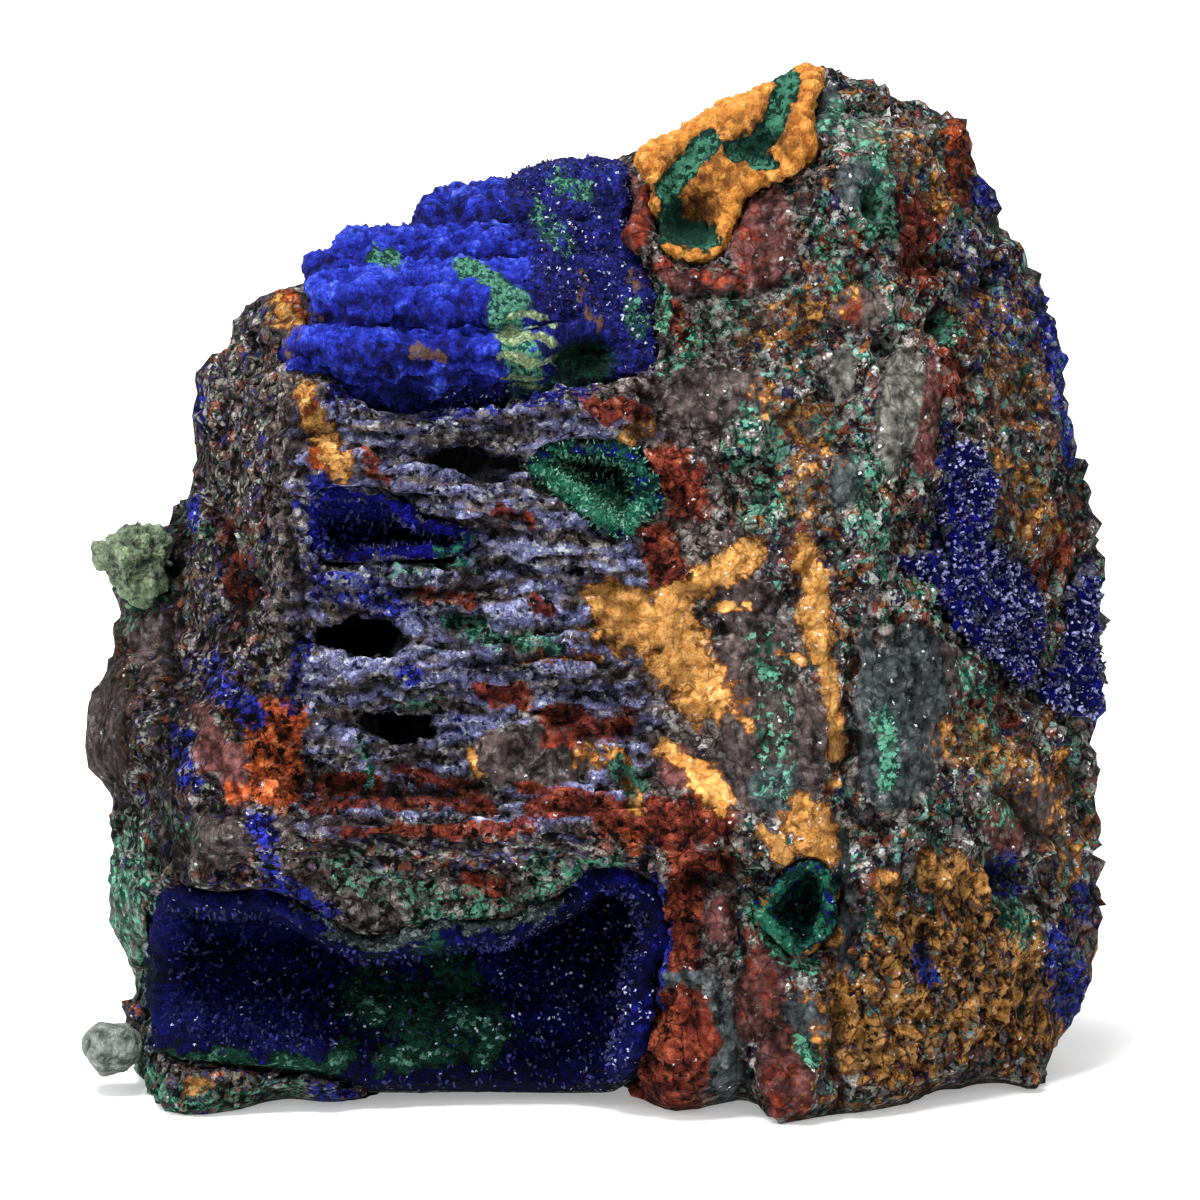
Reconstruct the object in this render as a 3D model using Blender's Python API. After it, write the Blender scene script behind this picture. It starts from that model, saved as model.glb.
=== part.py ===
"""Azurite and malachite on iron-stained rock: a palm-sized hand specimen that stands on its sawn-flat base.

The front is drawn as it is seen: u runs right, w up and d away from the eye, all in millimetres, and
stand() turns a drawn point into its place in the room. Each solid is a stack of rings round an outline,
closed at both ends by a net of triangles over scattered points.
"""

import math

import bmesh
import bpy
import numpy as np
from mathutils import Vector, noise
from mathutils.geometry import delaunay_2d_cdt

MM = 0.001
SEEN_FROM_ABOVE = math.radians(6)  # the line of sight falls by this much
EYE_DISTANCE = 560.0  # from the eye to the drawing, so nearer points are drawn larger
SIGHT_AT = (0.14, 37.24)  # where the line of sight meets the drawing, (u, w)
SIGHT_HEIGHT = 34.3  # of that point above the table
DRAWING_SHIFT = (-0.03, -3.24)  # moves the specimen over its origin, (x, y)

ROCK_MIDDLE = (0.0, 36.0)
ROCK_STEPS_ROUND = 165
FRONT_NET = 1.9  # distance between points
BACK_NET = 5.0
NET_SEED = 4  # for the sway of the points
FACE_DEPTH = -13.5  # the broad front face lies this far in front of the drawing
BACK_DEPTH = 23.0
FIT_GAP = 0.3  # beside a crust, to the rock that it grew on
SEAT_GAP = 0.5  # behind a crust

ROCK_OUTLINE = (
    (-27.5, 0.9), (-30.0, 0.7), (-31.6, 2.0), (-32.3, 4.0), (-32.5, 6.5), (-33.2, 8.2), (-32.4, 10.0),
    (-32.3, 11.2), (-33.3, 13.4), (-34.2, 15.6), (-34.4, 17.3), (-33.8, 19.5), (-34.1, 21.5), (-34.2, 24.0),
    (-35.4, 24.8), (-35.8, 25.8), (-35.6, 28.0), (-35.7, 30.0), (-34.7, 32.0), (-34.0, 34.5), (-34.0, 37.5),
    (-33.4, 39.4), (-32.4, 41.2), (-30.9, 42.4), (-29.8, 43.3), (-28.6, 45.0), (-28.2, 48.5),
    (-28.0, 51.0), (-27.5, 53.2),
    (-26.3, 54.5), (-25.2, 56.5), (-24.4, 57.9), (-22.5, 59.1), (-21.2, 59.2), (-19.6, 59.6), (-17.6, 61.4),
    (-15.4, 61.7), (-12.0, 62.4), (-10.4, 64.4), (-8.0, 64.8), (-5.0, 65.6), (-2.0, 67.0), (0.0, 67.9),
    (1.5, 68.0), (3.2, 68.2), (5.5, 68.9), (8.3, 70.9), (11.0, 71.7), (13.2, 73.4), (15.5, 74.5),
    (16.5, 74.4),
    (18.0, 73.7), (20.2, 73.4), (20.9, 72.6), (22.0, 72.3), (22.8, 71.5), (25.7, 71.2), (26.2, 70.3),
    (26.1, 67.6), (27.3, 66.8), (28.1, 65.7), (27.9, 63.7), (29.5, 61.8), (31.0, 59.5), (32.0, 57.0),
    (33.0, 54.5), (32.5, 51.7), (33.3, 48.5), (33.3, 47.2), (34.9, 45.4), (34.8, 43.8), (35.4, 41.0),
    (35.8, 39.5), (35.4, 37.8), (35.9, 36.0), (35.6, 32.0), (35.7, 28.3), (34.9, 27.6), (35.4, 24.5),
    (34.9, 22.8), (35.1, 21.0), (34.7, 18.6), (35.5, 17.0), (35.1, 15.0), (34.9, 11.0), (34.2, 8.8),
    (33.0, 7.3), (31.7, 5.4), (31.9, 3.9), (31.2, 2.6), (30.2, 2.4), (29.2, 3.3), (26.5, 3.3), (25.0, 2.7),
    (24.0, 2.9), (22.0, 1.8), (19.0, 1.2), (16.0, 0.9), (13.4, 0.3), (12.4, 0.0), (11.5, 0.6), (10.9, 2.4),
    (9.5, 2.0), (7.5, 1.5), (5.0, 1.2), (3.2, 1.8), (2.0, 3.2), (-2.0, 3.4), (-9.0, 3.4), (-13.0, 3.1),
    (-17.0, 2.0), (-19.0, 1.8), (-22.0, 2.3), (-24.5, 1.4),
)


def stand(points):
    """Places in the room, in metres, of points drawn as (u, w, d)."""
    points = np.asarray(points, float)
    spread = 1.0 + points[:, 2] / EYE_DISTANCE
    along = (points[:, 0] - SIGHT_AT[0]) * spread
    up = (points[:, 1] - SIGHT_AT[1]) * spread
    away = points[:, 2]
    sine, cosine = math.sin(SEEN_FROM_ABOVE), math.cos(SEEN_FROM_ABOVE)
    x = SIGHT_AT[0] + along + DRAWING_SHIFT[0]
    y = away * cosine + up * sine + DRAWING_SHIFT[1]
    z = SIGHT_HEIGHT - away * sine + up * cosine
    return np.stack([x, y, z], 1) * MM


def ease(low, high, x):
    """0 below low, 1 above high, and smooth between."""
    share = np.clip((x - low) / (high - low), 0.0, 1.0)
    return share * share * (3.0 - 2.0 * share)


def mound(u, w, at, size, turn=0.0):
    """1 in the middle of an oval, falling smoothly to 0 at its edge."""
    cosine, sine = math.cos(math.radians(turn)), math.sin(math.radians(turn))
    along = ((u - at[0]) * cosine + (w - at[1]) * sine) / size[0]
    across = ((w - at[1]) * cosine - (u - at[0]) * sine) / size[1]
    return np.clip(1.0 - along**2 - across**2, 0.0, None) ** 1.5


def above_line(u, w, line):
    """How far w lies above a line drawn from left to right."""
    return w - np.interp(u, [p[0] for p in line], [p[1] for p in line])


def beside_line(u, w, line):
    """How far u lies to the right of a line drawn from bottom to top."""
    return u - np.interp(w, [p[1] for p in line], [p[0] for p in line])


def ledge(u, w, line, reach, above, below):
    """A shelf that stands out by reach at its line, and fades over its two widths."""
    rise = above_line(u, w, line)
    shape = np.exp(-((rise / np.where(rise > 0, above, below)) ** 2))
    ends = ease(line[0][0] - 1.5, line[0][0] + 0.5, u) * (1 - ease(line[-1][0] - 0.5, line[-1][0] + 1.5, u))
    return -reach * shape * ends


def lumps(points, size, depth, seed):
    """Rough relief of a given grain, the same on each run."""
    offset = Vector((seed * 17.3, seed * 5.1, seed * 9.7))
    return depth * np.array([noise.fractal(Vector(p) / size + offset, 0.9, 2.1, 3) for p in points])


def broken(points, size, depth, seed):
    """Relief of flat-faced chips, from the distance to the nearest of scattered points."""
    offset = Vector((seed * 3.7, seed * 11.9, seed * 7.3))
    near = [noise.voronoi(Vector(p) / size + offset)[0] for p in points]
    return depth * np.array([d[0] - 0.5 * d[1] for d in near])


# The strata and breaks of the front face, from the top down.
SHELF_UNDER_TERRACES = ((-17.5, 49.6), (-10.0, 49.8), (-4.0, 49.8), (2.5, 50.8))
LIP_OVER_SLIT = ((-21.0, 46.4), (-15.0, 46.0), (-9.0, 44.2), (-3.5, 42.2), (1.0, 40.2))
SILL_UNDER_SLIT = ((-20.0, 38.6), (-12.0, 38.6), (-7.0, 38.4))
BAND_BELOW_SLITS = ((-18.0, 31.5), (-10.0, 32.4), (-4.0, 32.6), (3.0, 31.4))
LONG_EDGE = ((-27.0, 20.6), (-18.0, 20.8), (-8.0, 20.6), (0.0, 20.9), (8.5, 20.3))
RED_GROOVE = ((-21.5, 24.9), (-14.5, 24.3))
LEFT_EDGE = ((-29.5, 0.0), (-28.5, 18.0), (-27.5, 28.0), (-22.5, 34.0), (-21.0, 46.0), (-20.0, 60.0))
DARK_SEAM = ((16.8, 2.0), (17.1, 15.0), (17.7, 22.0), (17.6, 30.0), (17.9, 36.5))
VEIN_EDGE = ((18.0, 42.0), (21.5, 39.3), (25.0, 35.4), (30.0, 30.4), (36.0, 27.4))


def left_side(u, w):
    """The broken left side, which turns away past the left edge, and the column behind it."""
    past = np.clip(-beside_line(u, w, LEFT_EDGE), 0.0, None)
    turned = 1.9 * past
    column = -4.5 * mound(u, w, (-33.3, 31.0), (3.6, 11.0))
    crevice = 2.4 * mound(u, w, (-29.6, 35.0), (1.4, 8.0), 4)
    return turned + column + crevice


def right_side(u, w):
    """The rounded right side, with the step above the blue vein's lower edge."""
    rise = above_line(u, w, VEIN_EDGE)
    step = 2.2 * ease(0.0, 0.9, rise) * (1 - ease(6.0, 15.0, rise)) * ease(19.0, 22.0, u)
    seam = 1.1 * np.exp(-((beside_line(u, w, DARK_SEAM) / 0.7) ** 2)) * (1 - ease(35.0, 38.0, w))
    return 0.052 * np.clip(u - 16.0, 0.0, None) ** 2 + step + seam


def strata(u, w):
    """The shelves and grooves that cross the broad front face."""
    relief = ledge(u, w, SHELF_UNDER_TERRACES, 1.8, 2.2, 1.2)
    relief = relief + ledge(u, w, LIP_OVER_SLIT, 2.0, 1.6, 1.0)
    relief = relief + ledge(u, w, SILL_UNDER_SLIT, 1.4, 0.8, 2.0)
    relief = relief + ledge(u, w, BAND_BELOW_SLITS, 1.7, 1.0, 1.6)
    relief = relief + ledge(u, w, LONG_EDGE, 2.2, 2.4, 0.9)
    relief = relief + ledge(u, w, RED_GROOVE, -1.4, 0.5, 0.7)
    under = np.clip(-above_line(u, w, LONG_EDGE), 0.0, 7.0) * (1 - ease(-1.0, 3.0, u))
    return relief + 0.34 * under


def blocks(u, w):
    """Single blocks and faces that stand out of the front: slab, wedge, lens and foot."""
    slab = -1.3 * mound(u, w, (22.3, 49.5), (3.0, 7.0), -6) ** 0.5
    lens = -0.8 * mound(u, w, (-4.8, 26.4), (5.4, 2.9), 3) ** 0.5
    red_block = -0.9 * ease(1.5, 2.5, u) * (1 - ease(7.6, 8.6, u)) * (1 - ease(9.6, 10.4, w))
    wedge = -2.2 * ease(10.4, 11.4, u) * (1 - ease(14.5, 17.5, u)) * (1 - ease(4.2, 5.0, w))
    ochre_bulge = -1.4 * mound(u, w, (26.0, 12.0), (8.5, 7.5))
    foot = -1.2 * mound(u, w, (-28.0, 2.5), (5.0, 3.0))
    shoulder = -1.6 * mound(u, w, (20.0, 66.0), (7.0, 7.0))
    return slab + lens + red_block + wedge + ochre_bulge + foot + shoulder


def front_depth(u, w):
    """Depth of the rock's front, without its rounded rim or its hollows."""
    lean = 0.30 * np.clip(w - 48.0, 0.0, None)
    return FACE_DEPTH + lean + left_side(u, w) + right_side(u, w) + strata(u, w) + blocks(u, w)


def back_depth(u, w):
    """Depth of the rock's back: a few broad breaks that meet at blunt edges."""
    high = w - ROCK_MIDDLE[1]
    breaks = (
        BACK_DEPTH + 0.06 * u - 0.04 * high,
        38.0 + 0.80 * u + 0.10 * high,
        34.0 - 0.62 * u - 0.12 * high,
        40.0 - 0.10 * u - 0.78 * high,
        33.0 + 0.30 * u + 0.42 * high,
    )
    return np.min(np.stack(breaks), axis=0)


def ground_depth(w):
    """How far away a point drawn at this height is if it lies on the table."""
    return (w - 2.75) / 0.17


def rim_depth(u, w):
    """Depth of the rock's widest line, where front and back meet; at the foot it lies on the table."""
    upper = 6.5 - 2.5 * ease(58.0, 72.0, w) + 0.5 * np.sin(w / 5.0)
    foot = np.minimum(ground_depth(w) + 1.5, upper)
    return upper + (foot - upper) * (1 - ease(3.4, 4.4, w))


def rim_width(u, w):
    """How wide a band the front needs to turn over into the rim."""
    width = 6.5 + 6.5 * ease(0.0, 30.0, u)
    width = width + (8.0 - width) * ease(55.0, 68.0, w)
    return width + (2.6 - width) * (1 - ease(3.0, 9.0, w))


def walk(outline, count):
    """Points at even steps round a closed outline."""
    points = np.array(outline, float)
    points = np.vstack([points, points[:1]])
    run = np.concatenate([[0.0], np.cumsum(np.linalg.norm(np.diff(points[:, :2], axis=0), axis=1))])
    steps = np.linspace(0.0, run[-1], count, endpoint=False)
    return np.stack([np.interp(steps, run, points[:, k]) for k in range(points.shape[1])], 1)


def outward(edge):
    """Unit directions out of a closed outline in the drawing."""
    ahead, behind = np.roll(edge, -1, 0), np.roll(edge, 1, 0)
    along = ahead[:, :2] - behind[:, :2]
    out = np.stack([-along[:, 1], along[:, 0]], 1)
    out /= np.linalg.norm(out, axis=1)[:, None]
    turned = np.sum(edge[:, 0] * ahead[:, 1] - ahead[:, 0] * edge[:, 1])
    return out if turned < 0 else -out


def toward(edge, middle, share):
    """The outline drawn in towards a middle point; share 1 is the outline itself."""
    return np.asarray(middle) + (edge[:, :2] - np.asarray(middle)) * share


def ring(flat, depth):
    return np.column_stack([flat[:, :2], np.broadcast_to(depth, len(flat))])


def inward_distance(points, edge):
    """How far inside a closed outline each point lies; negative outside."""
    start, stop = edge[:, :2], np.roll(edge[:, :2], -1, 0)
    along = stop - start
    nearest = np.full(len(points), 1e9)
    inside = np.zeros(len(points), bool)
    for near, far, step in zip(start, stop, along):
        share = np.clip(((points - near) @ step) / (step @ step), 0.0, 1.0)
        nearest = np.minimum(nearest, np.linalg.norm(points - near - share[:, None] * step, axis=1))
        crosses = (near[1] > points[:, 1]) != (far[1] > points[:, 1])
        at = near[0] + (points[:, 1] - near[1]) * step[0] / (step[1] or 1e-9)
        inside ^= crosses & (points[:, 0] < at)
    return np.where(inside, nearest, -nearest)


def net(edge, spacing, margin, lines=()):
    """Points scattered evenly inside an outline, and closely along the lines that cross it."""
    low, high = edge[:, :2].min(0), edge[:, :2].max(0)
    rows = np.arange(low[1], high[1], 0.87 * spacing)
    found = []
    for number, row in enumerate(rows):
        for u in np.arange(low[0] + 0.5 * spacing * (number % 2), high[0], spacing):
            sway = noise.noise_vector(Vector((u, row, spacing)) * 0.9) * 0.35 * spacing
            found.append((u + sway.x, row + sway.y))
    found = np.array(found)
    for line in lines:
        drawn = np.array(line, float)
        run = np.concatenate([[0.0], np.cumsum(np.linalg.norm(np.diff(drawn, axis=0), axis=1))])
        steps = np.arange(0.0, run[-1], 0.8 * spacing)
        on_line = np.stack([np.interp(steps, run, drawn[:, k]) for k in range(2)], 1)
        apart = np.linalg.norm(found[:, None] - on_line[None], axis=2).min(1)
        found = np.vstack([found[apart > 0.6 * spacing], on_line])
    return found[inward_distance(found, edge) > margin]


def with_depth(flat, depth_at):
    return ring(flat, depth_at(flat[:, 0], flat[:, 1]))


def add_solid(name, rings, first_inside, last_inside):
    """A closed solid from rings of equal count; a net over the points inside closes each end."""
    count = len(rings[0])
    ends = [np.asarray(first_inside).reshape(-1, 3), np.asarray(last_inside).reshape(-1, 3)]
    places = stand(np.vstack([*rings, *ends]))
    mesh = bmesh.new()
    verts = [mesh.verts.new(p) for p in places]
    for near in range(0, (len(rings) - 1) * count, count):
        for k in range(count):
            after = (k + 1) % count
            far = near + count
            mesh.faces.new((verts[near + k], verts[far + k], verts[far + after], verts[near + after]))
    bmesh.ops.triangulate(mesh, faces=mesh.faces, quad_method="FIXED")
    past = len(rings) * count
    for level, inside in zip((0, len(rings) - 1), ends):
        flat = [Vector(p[:2]) for p in np.vstack([rings[level], inside])]
        bounds = [(k, (k + 1) % count) for k in range(count)]
        triangles = delaunay_2d_cdt(flat, bounds, [], 1, 1e-5)[2]
        rim, middle = level * count, past - count
        for triangle in triangles:
            mesh.faces.new([verts[rim + k] if k < count else verts[middle + k] for k in triangle])
        past += len(inside)
    mesh.normal_update()
    bmesh.ops.recalc_face_normals(mesh, faces=mesh.faces)
    data = bpy.data.meshes.new(name)
    mesh.to_mesh(data)
    mesh.free()
    made = bpy.data.objects.new(name, data)
    bpy.context.scene.collection.objects.link(made)
    return made


def as_cutter(made):
    made.hide_render = True
    made.display_type = "WIRE"
    return made


def finish(made, colour, roughness):
    """Gives a solid its own plain material, in linear colour."""
    material = bpy.data.materials.new(made.name)
    material.use_nodes = True
    shader = material.node_tree.nodes["Principled BSDF"]
    shader.inputs["Base Color"].default_value = (*colour, 1.0)
    shader.inputs["Roughness"].default_value = roughness
    shader.inputs["Metallic"].default_value = 0.0
    made.data.materials.append(material)
    return made


def cut(rock, cutter):
    step = rock.modifiers.new(cutter.name, "BOOLEAN")
    step.operation = "DIFFERENCE"
    step.solver = "EXACT"
    step.object = as_cutter(cutter)


def rough(points, seed, relief):
    """Pushes drawn points towards and away from the eye by rock-like relief."""
    points = np.array(points, float)
    points[:, 2] += lumps(points, 6.0, 0.7 * relief, seed) + broken(points, 3.4, 0.9 * relief, seed)
    return points


def build_rock():
    """The iron-stained host rock, one piece, cut flat where it stands."""
    edge = walk(ROCK_OUTLINE, ROCK_STEPS_ROUND)
    out = outward(edge)

    def turned(flat, least, depth_at, width, seed, relief):
        """The front or the back, which turns over into the rim and is at least so far from it."""
        rim = rim_depth(flat[:, 0], flat[:, 1])
        inward = inward_distance(flat, edge)
        arch = np.sqrt(1.0 - (1.0 - np.clip(inward / width, 0.0, 1.0)) ** 2)
        thick = np.maximum(abs(least), np.sign(least) * (depth_at(flat[:, 0], flat[:, 1]) - rim))
        coarseness = relief * np.clip(inward / 3.0, 0.2, 1.0)
        return rough(ring(flat, rim + np.sign(least) * thick * arch), seed, coarseness)

    def bands(offsets, spacing):
        """Points that follow the outline on its inside, ever fewer."""
        found = []
        for offset in offsets:
            band = (edge[:, :2] - out * offset)[:: max(1, round(spacing))]
            found.append(band[inward_distance(band, edge) > 0.8 * offset])
        return np.vstack(found)

    lines = (
        SHELF_UNDER_TERRACES, LIP_OVER_SLIT, SILL_UNDER_SLIT, BAND_BELOW_SLITS, LONG_EDGE, RED_GROOVE,
        LEFT_EDGE, DARK_SEAM, VEIN_EDGE,
    )
    front = np.vstack([bands((0.45, 1.5), 1), net(edge, FRONT_NET, 2.6, lines)])
    back = np.vstack([bands((2.2,), 2), net(edge, BACK_NET, 5.0)])
    front = turned(front, -1.0, front_depth, rim_width(front[:, 0], front[:, 1]), 1, 1.0)
    back = turned(back, 2.5, back_depth, 2.5 + 6.5 * ease(6.0, 15.0, back[:, 1]), 2, 1.4)
    rock = add_solid("iron_stained_rock", [ring(edge, rim_depth(edge[:, 0], edge[:, 1]))], front, back)
    return finish(rock, (0.13, 0.085, 0.065), 0.8)


def build_table():
    """All that lies below the table, to cut the foot flat."""
    table = bpy.data.objects.new("below_table", bpy.data.meshes.new("below_table"))
    bpy.context.scene.collection.objects.link(table)
    box = bmesh.new()
    bmesh.ops.create_cube(box, size=0.2)
    bmesh.ops.translate(box, verts=box.verts, vec=(0, 0, -0.1))
    box.to_mesh(table.data)
    box.free()
    return table


def pushed(rings, out, sideways, deeper):
    """The same rings moved out of the outline and away from the eye."""
    return [ring(level[:, :2] + out * sideways, level[:, 2] + deeper) for level in rings]


def add_slab(
    name, rock, outline, front_net, back_net, count, front_at, back_at, seed, relief=0.5, lines=()
):
    """A crust that lies on the rock's face, and its seat in the rock."""
    edge = walk(outline, count)
    out = outward(edge)
    front_edge = with_depth(edge[:, :2] - out * 0.25, front_at)
    turning = with_depth(edge, lambda u, w: 0.45 * front_at(u, w) + 0.55 * back_at(u, w))
    back_edge = with_depth(edge[:, :2] - out * 0.3, back_at)
    front = rough(with_depth(net(edge, front_net, 0.8 + 0.25 * front_net, lines), front_at), seed, relief)
    back = with_depth(net(edge, back_net, 0.9 + 0.4 * back_net), back_at)
    crust = add_solid(name, [front_edge, turning, back_edge], front, back)

    mouth = [ring(edge[:, :2] + out * FIT_GAP, -40.0)]
    seat = mouth + pushed([turning], out, FIT_GAP, FIT_GAP) + pushed([back_edge], out, 0.0, SEAT_GAP)
    cut(rock, add_solid(name + "_seat", seat, [], back + (0, 0, SEAT_GAP)))
    return crust


def add_lining(
    name, rock, mouth, floor_net, floor_at, shell_at, wall, flare, count, seed, relief=0.4
):
    """The crust that lines a hollow like a cup, and the hollow. mouth is (u, w, d) of its rim."""
    edge = walk(mouth, count)
    out = outward(edge)
    lip = edge[:, 2]

    def wall_ring(offset, depth):
        return ring(edge[:, :2] + out * offset, depth)

    floor = np.maximum(floor_at(edge[:, 0], edge[:, 1]), lip + 0.8)
    shell = shell_at(edge[:, 0], edge[:, 1])
    inner = [wall_ring(-wall, lip + 0.85 * (floor - lip)), wall_ring(-wall, lip + 0.35 * (floor - lip))]
    inner += [wall_ring(-0.6 * wall, lip)]
    walls = [wall_ring(0.0, lip + 0.4), wall_ring(flare, 0.5 * (lip + shell))]
    walls += [wall_ring(0.6 * flare, shell)]
    floor_points = rough(with_depth(net(edge, floor_net, wall + 0.4 * floor_net), floor_at), seed, relief)
    shell_points = with_depth(net(edge, 2.4 * floor_net, floor_net), shell_at)
    crust = add_solid(name, inner + walls, floor_points, shell_points)

    hollow = [ring(edge[:, :2] + out * FIT_GAP, -40.0)] + pushed(walls[:2], out, FIT_GAP, 0.0)
    hollow += pushed(walls[2:], out, FIT_GAP, SEAT_GAP)
    cut(rock, add_solid(name + "_hollow", hollow, [], shell_points + (0, 0, SEAT_GAP)))
    return crust


def cut_slit(name, rock, mouth, back):
    """A bare slit in the rock that narrows towards its back."""
    edge = walk(mouth, 14)
    middle = edge[:, :2].mean(axis=0)
    rings = [ring(edge, -40.0), ring(edge, FACE_DEPTH)]
    rings += [ring(toward(edge, middle, 1.15), 0.5 * (FACE_DEPTH + back))]
    rings += [ring(toward(edge, middle, 0.7), back)]
    cut(rock, add_solid(name, rings, [], []))


TERRACE_OUTLINE = (
    (-22.1, 54.3), (-21.2, 55.6), (-19.9, 56.3), (-19.5, 59.0), (-20.7, 60.6), (-19.9, 61.3), (-19.0, 61.0),
    (-18.4, 61.7), (-17.4, 62.9), (-16.0, 63.2), (-14.5, 62.9), (-12.7, 63.3), (-12.0, 65.0), (-11.3, 65.7),
    (-10.2, 65.9), (-8.0, 65.9), (-6.0, 66.2), (-3.5, 67.2), (-0.5, 67.5), (1.5, 67.2),
    (2.2, 65.5), (1.6, 63.0),
    (2.8, 61.0), (3.8, 58.5), (3.5, 56.5), (4.0, 54.5), (3.7, 53.0), (1.5, 52.6), (-2.5, 52.0),
    (-4.6, 51.5),
    (-6.5, 51.1), (-9.0, 50.8), (-13.0, 50.7), (-16.0, 50.6), (-17.2, 51.3), (-18.0, 52.6),
    (-19.6, 53.0), (-21.1, 53.4),
)
# Height and depth of the steps, up the middle of the terraces.
# Each pair of bulge and dark line is one ledge.
TERRACE_STEPS = (
    (50.6, -10.2), (51.5, -9.6), (52.9, -10.2), (53.6, -13.0), (54.6, -13.7), (55.5, -12.2), (56.1, -10.6),
    (56.9, -12.6), (58.6, -12.3), (60.1, -9.9), (60.7, -7.6), (61.3, -8.6), (62.5, -6.9), (63.1, -4.4),
    (63.7, -5.3), (64.9, -4.0), (65.7, -1.4), (66.5, -0.2), (68.2, 3.8),
)
TERRACE_BACK = ((50.6, -6.2), (56.0, -6.6), (60.5, -3.4), (63.0, 0.0), (66.0, 3.6), (68.5, 7.6))


def terrace_front(u, w):
    """Velvet-blue ledges that step up and back; they flatten to the right, round the green hollow."""
    sway = 0.35 * np.sin(u / 2.3) + 0.2 * np.sin(u / 0.9 + 1.0)
    height, depth = zip(*TERRACE_STEPS)
    stepped = np.interp(w + sway, height, depth)
    plain = -10.4 + 0.45 * np.clip(w - 52.5, 0.0, None) + 0.02 * np.clip(w - 60.0, 0.0, None) ** 2
    flat = ease(-5.0, -0.5, u)
    left = 0.9 * np.clip(-17.0 - u, 0.0, None)
    green_hollow = 4.2 * mound(u, w, (-0.9, 53.9), (2.6, 2.0))
    return stepped + (plain - stepped) * flat + left + green_hollow


def terrace_back(u, w):
    height, depth = zip(*TERRACE_BACK)
    left = 0.9 * np.clip(-17.0 - u, 0.0, None)
    return np.interp(w, height, depth) + left + 3.2 * mound(u, w, (-0.9, 53.9), (4.2, 3.6))


CAVE_MOUTH = (
    (-30.3, 16.2, -9.0), (-28.6, 17.0, -10.5), (-26.5, 16.4, -10.5), (-23.2, 16.9, -10.8),
    (-21.0, 15.8, -11.2),
    (-19.0, 14.5, -11.6), (-17.0, 13.5, -11.6), (-15.0, 13.3, -11.8), (-12.5, 13.9, -11.8),
    (-10.0, 14.3, -12.0),
    (-6.5, 14.5, -12.2), (-4.0, 15.6, -12.4), (-1.6, 16.8, -12.6), (-0.1, 18.2, -12.6), (1.8, 18.4, -12.6),
    (3.5, 17.4, -12.8), (4.3, 16.0, -13.0), (4.9, 14.3, -13.0), (4.2, 12.4, -13.2), (3.4, 10.0, -13.4),
    (3.7, 8.0, -13.4), (3.1, 6.3, -13.4), (2.5, 4.9, -12.6), (1.8, 3.4, -9.0), (-2.0, 3.3, -5.6),
    (-8.0, 3.4, -6.0),
    (-12.5, 3.3, -6.6), (-16.5, 3.4, -7.6), (-18.5, 4.2, -9.6), (-22.0, 4.7, -10.2), (-27.0, 4.9, -10.2),
    (-30.2, 5.4, -8.6), (-30.8, 7.4, -6.6), (-30.9, 10.5, -6.0), (-30.6, 13.5, -6.8),
)


def cave_floor(u, w):
    """The cave's back: it leans forward to the foot, with a groove half-way up and a deep right end."""
    lean = np.interp(w, (2.5, 6.0, 9.0, 10.2, 11.5, 14.0, 19.0), (-7.0, -4.6, -2.6, 0.6, -0.6, 1.8, 4.6))
    right = ease(-7.0, -2.0, u) * np.interp(w, (3.0, 9.0, 13.0, 18.0), (1.8, 1.0, 3.2, 4.4))
    green_swell = -2.0 * mound(u, w, (-12.0, 6.5), (6.0, 5.0))
    left_swell = -2.2 * mound(u, w, (-26.5, 7.0), (5.5, 3.6))
    left_wall = -0.75 * np.clip(-26.0 - u, 0.0, None)
    return lean + right + green_swell + left_swell + left_wall


def cave_shell(u, w):
    """Behind the cave's floor everywhere, and even."""
    return -1.5 + 0.78 * (w - 3.0)


POCKET_MOUTH = (
    (-4.8, 46.4, -13.6), (-4.0, 47.9, -13.6), (-2.2, 48.2, -13.6), (0.0, 48.1, -13.6), (2.2, 47.7, -13.6),
    (3.3, 46.3, -13.6), (3.9, 44.2, -13.6), (3.0, 42.5, -13.8), (1.7, 41.2, -14.2), (0.4, 42.2, -14.4),
    (-1.2, 43.4, -14.2), (-3.0, 44.7, -14.0),
)


def pocket_floor(u, w):
    """A bright sill that rises to the lower lip, and a dark recess above it."""
    rise = above_line(u, w, ((-5.0, 46.3), (-1.5, 45.9), (1.5, 45.2), (4.0, 44.8)))
    return -10.4 + 4.6 * ease(-0.6, 1.2, rise) + 0.9 * ease(-4.0, -0.5, rise)


SLIT_MOUTH = (
    (-20.3, 44.3, -12.8), (-18.5, 45.0, -14.0), (-16.0, 45.0, -14.2), (-14.0, 44.3, -14.2),
    (-13.2, 43.0, -14.2),
    (-11.5, 42.4, -14.2), (-9.2, 42.1, -14.2), (-8.5, 41.1, -14.2), (-9.8, 40.3, -14.2),
    (-13.0, 40.1, -14.2),
    (-17.0, 39.8, -14.0), (-19.4, 40.0, -13.4), (-20.4, 42.0, -12.8),
)


def slit_floor(u, w):
    """Blue crystals hang from the upper back; the slit runs in deep below them."""
    return -11.6 + 6.6 * (1 - ease(41.0, 43.4, w)) + 0.8 * ease(-14.0, -11.0, u)


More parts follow.
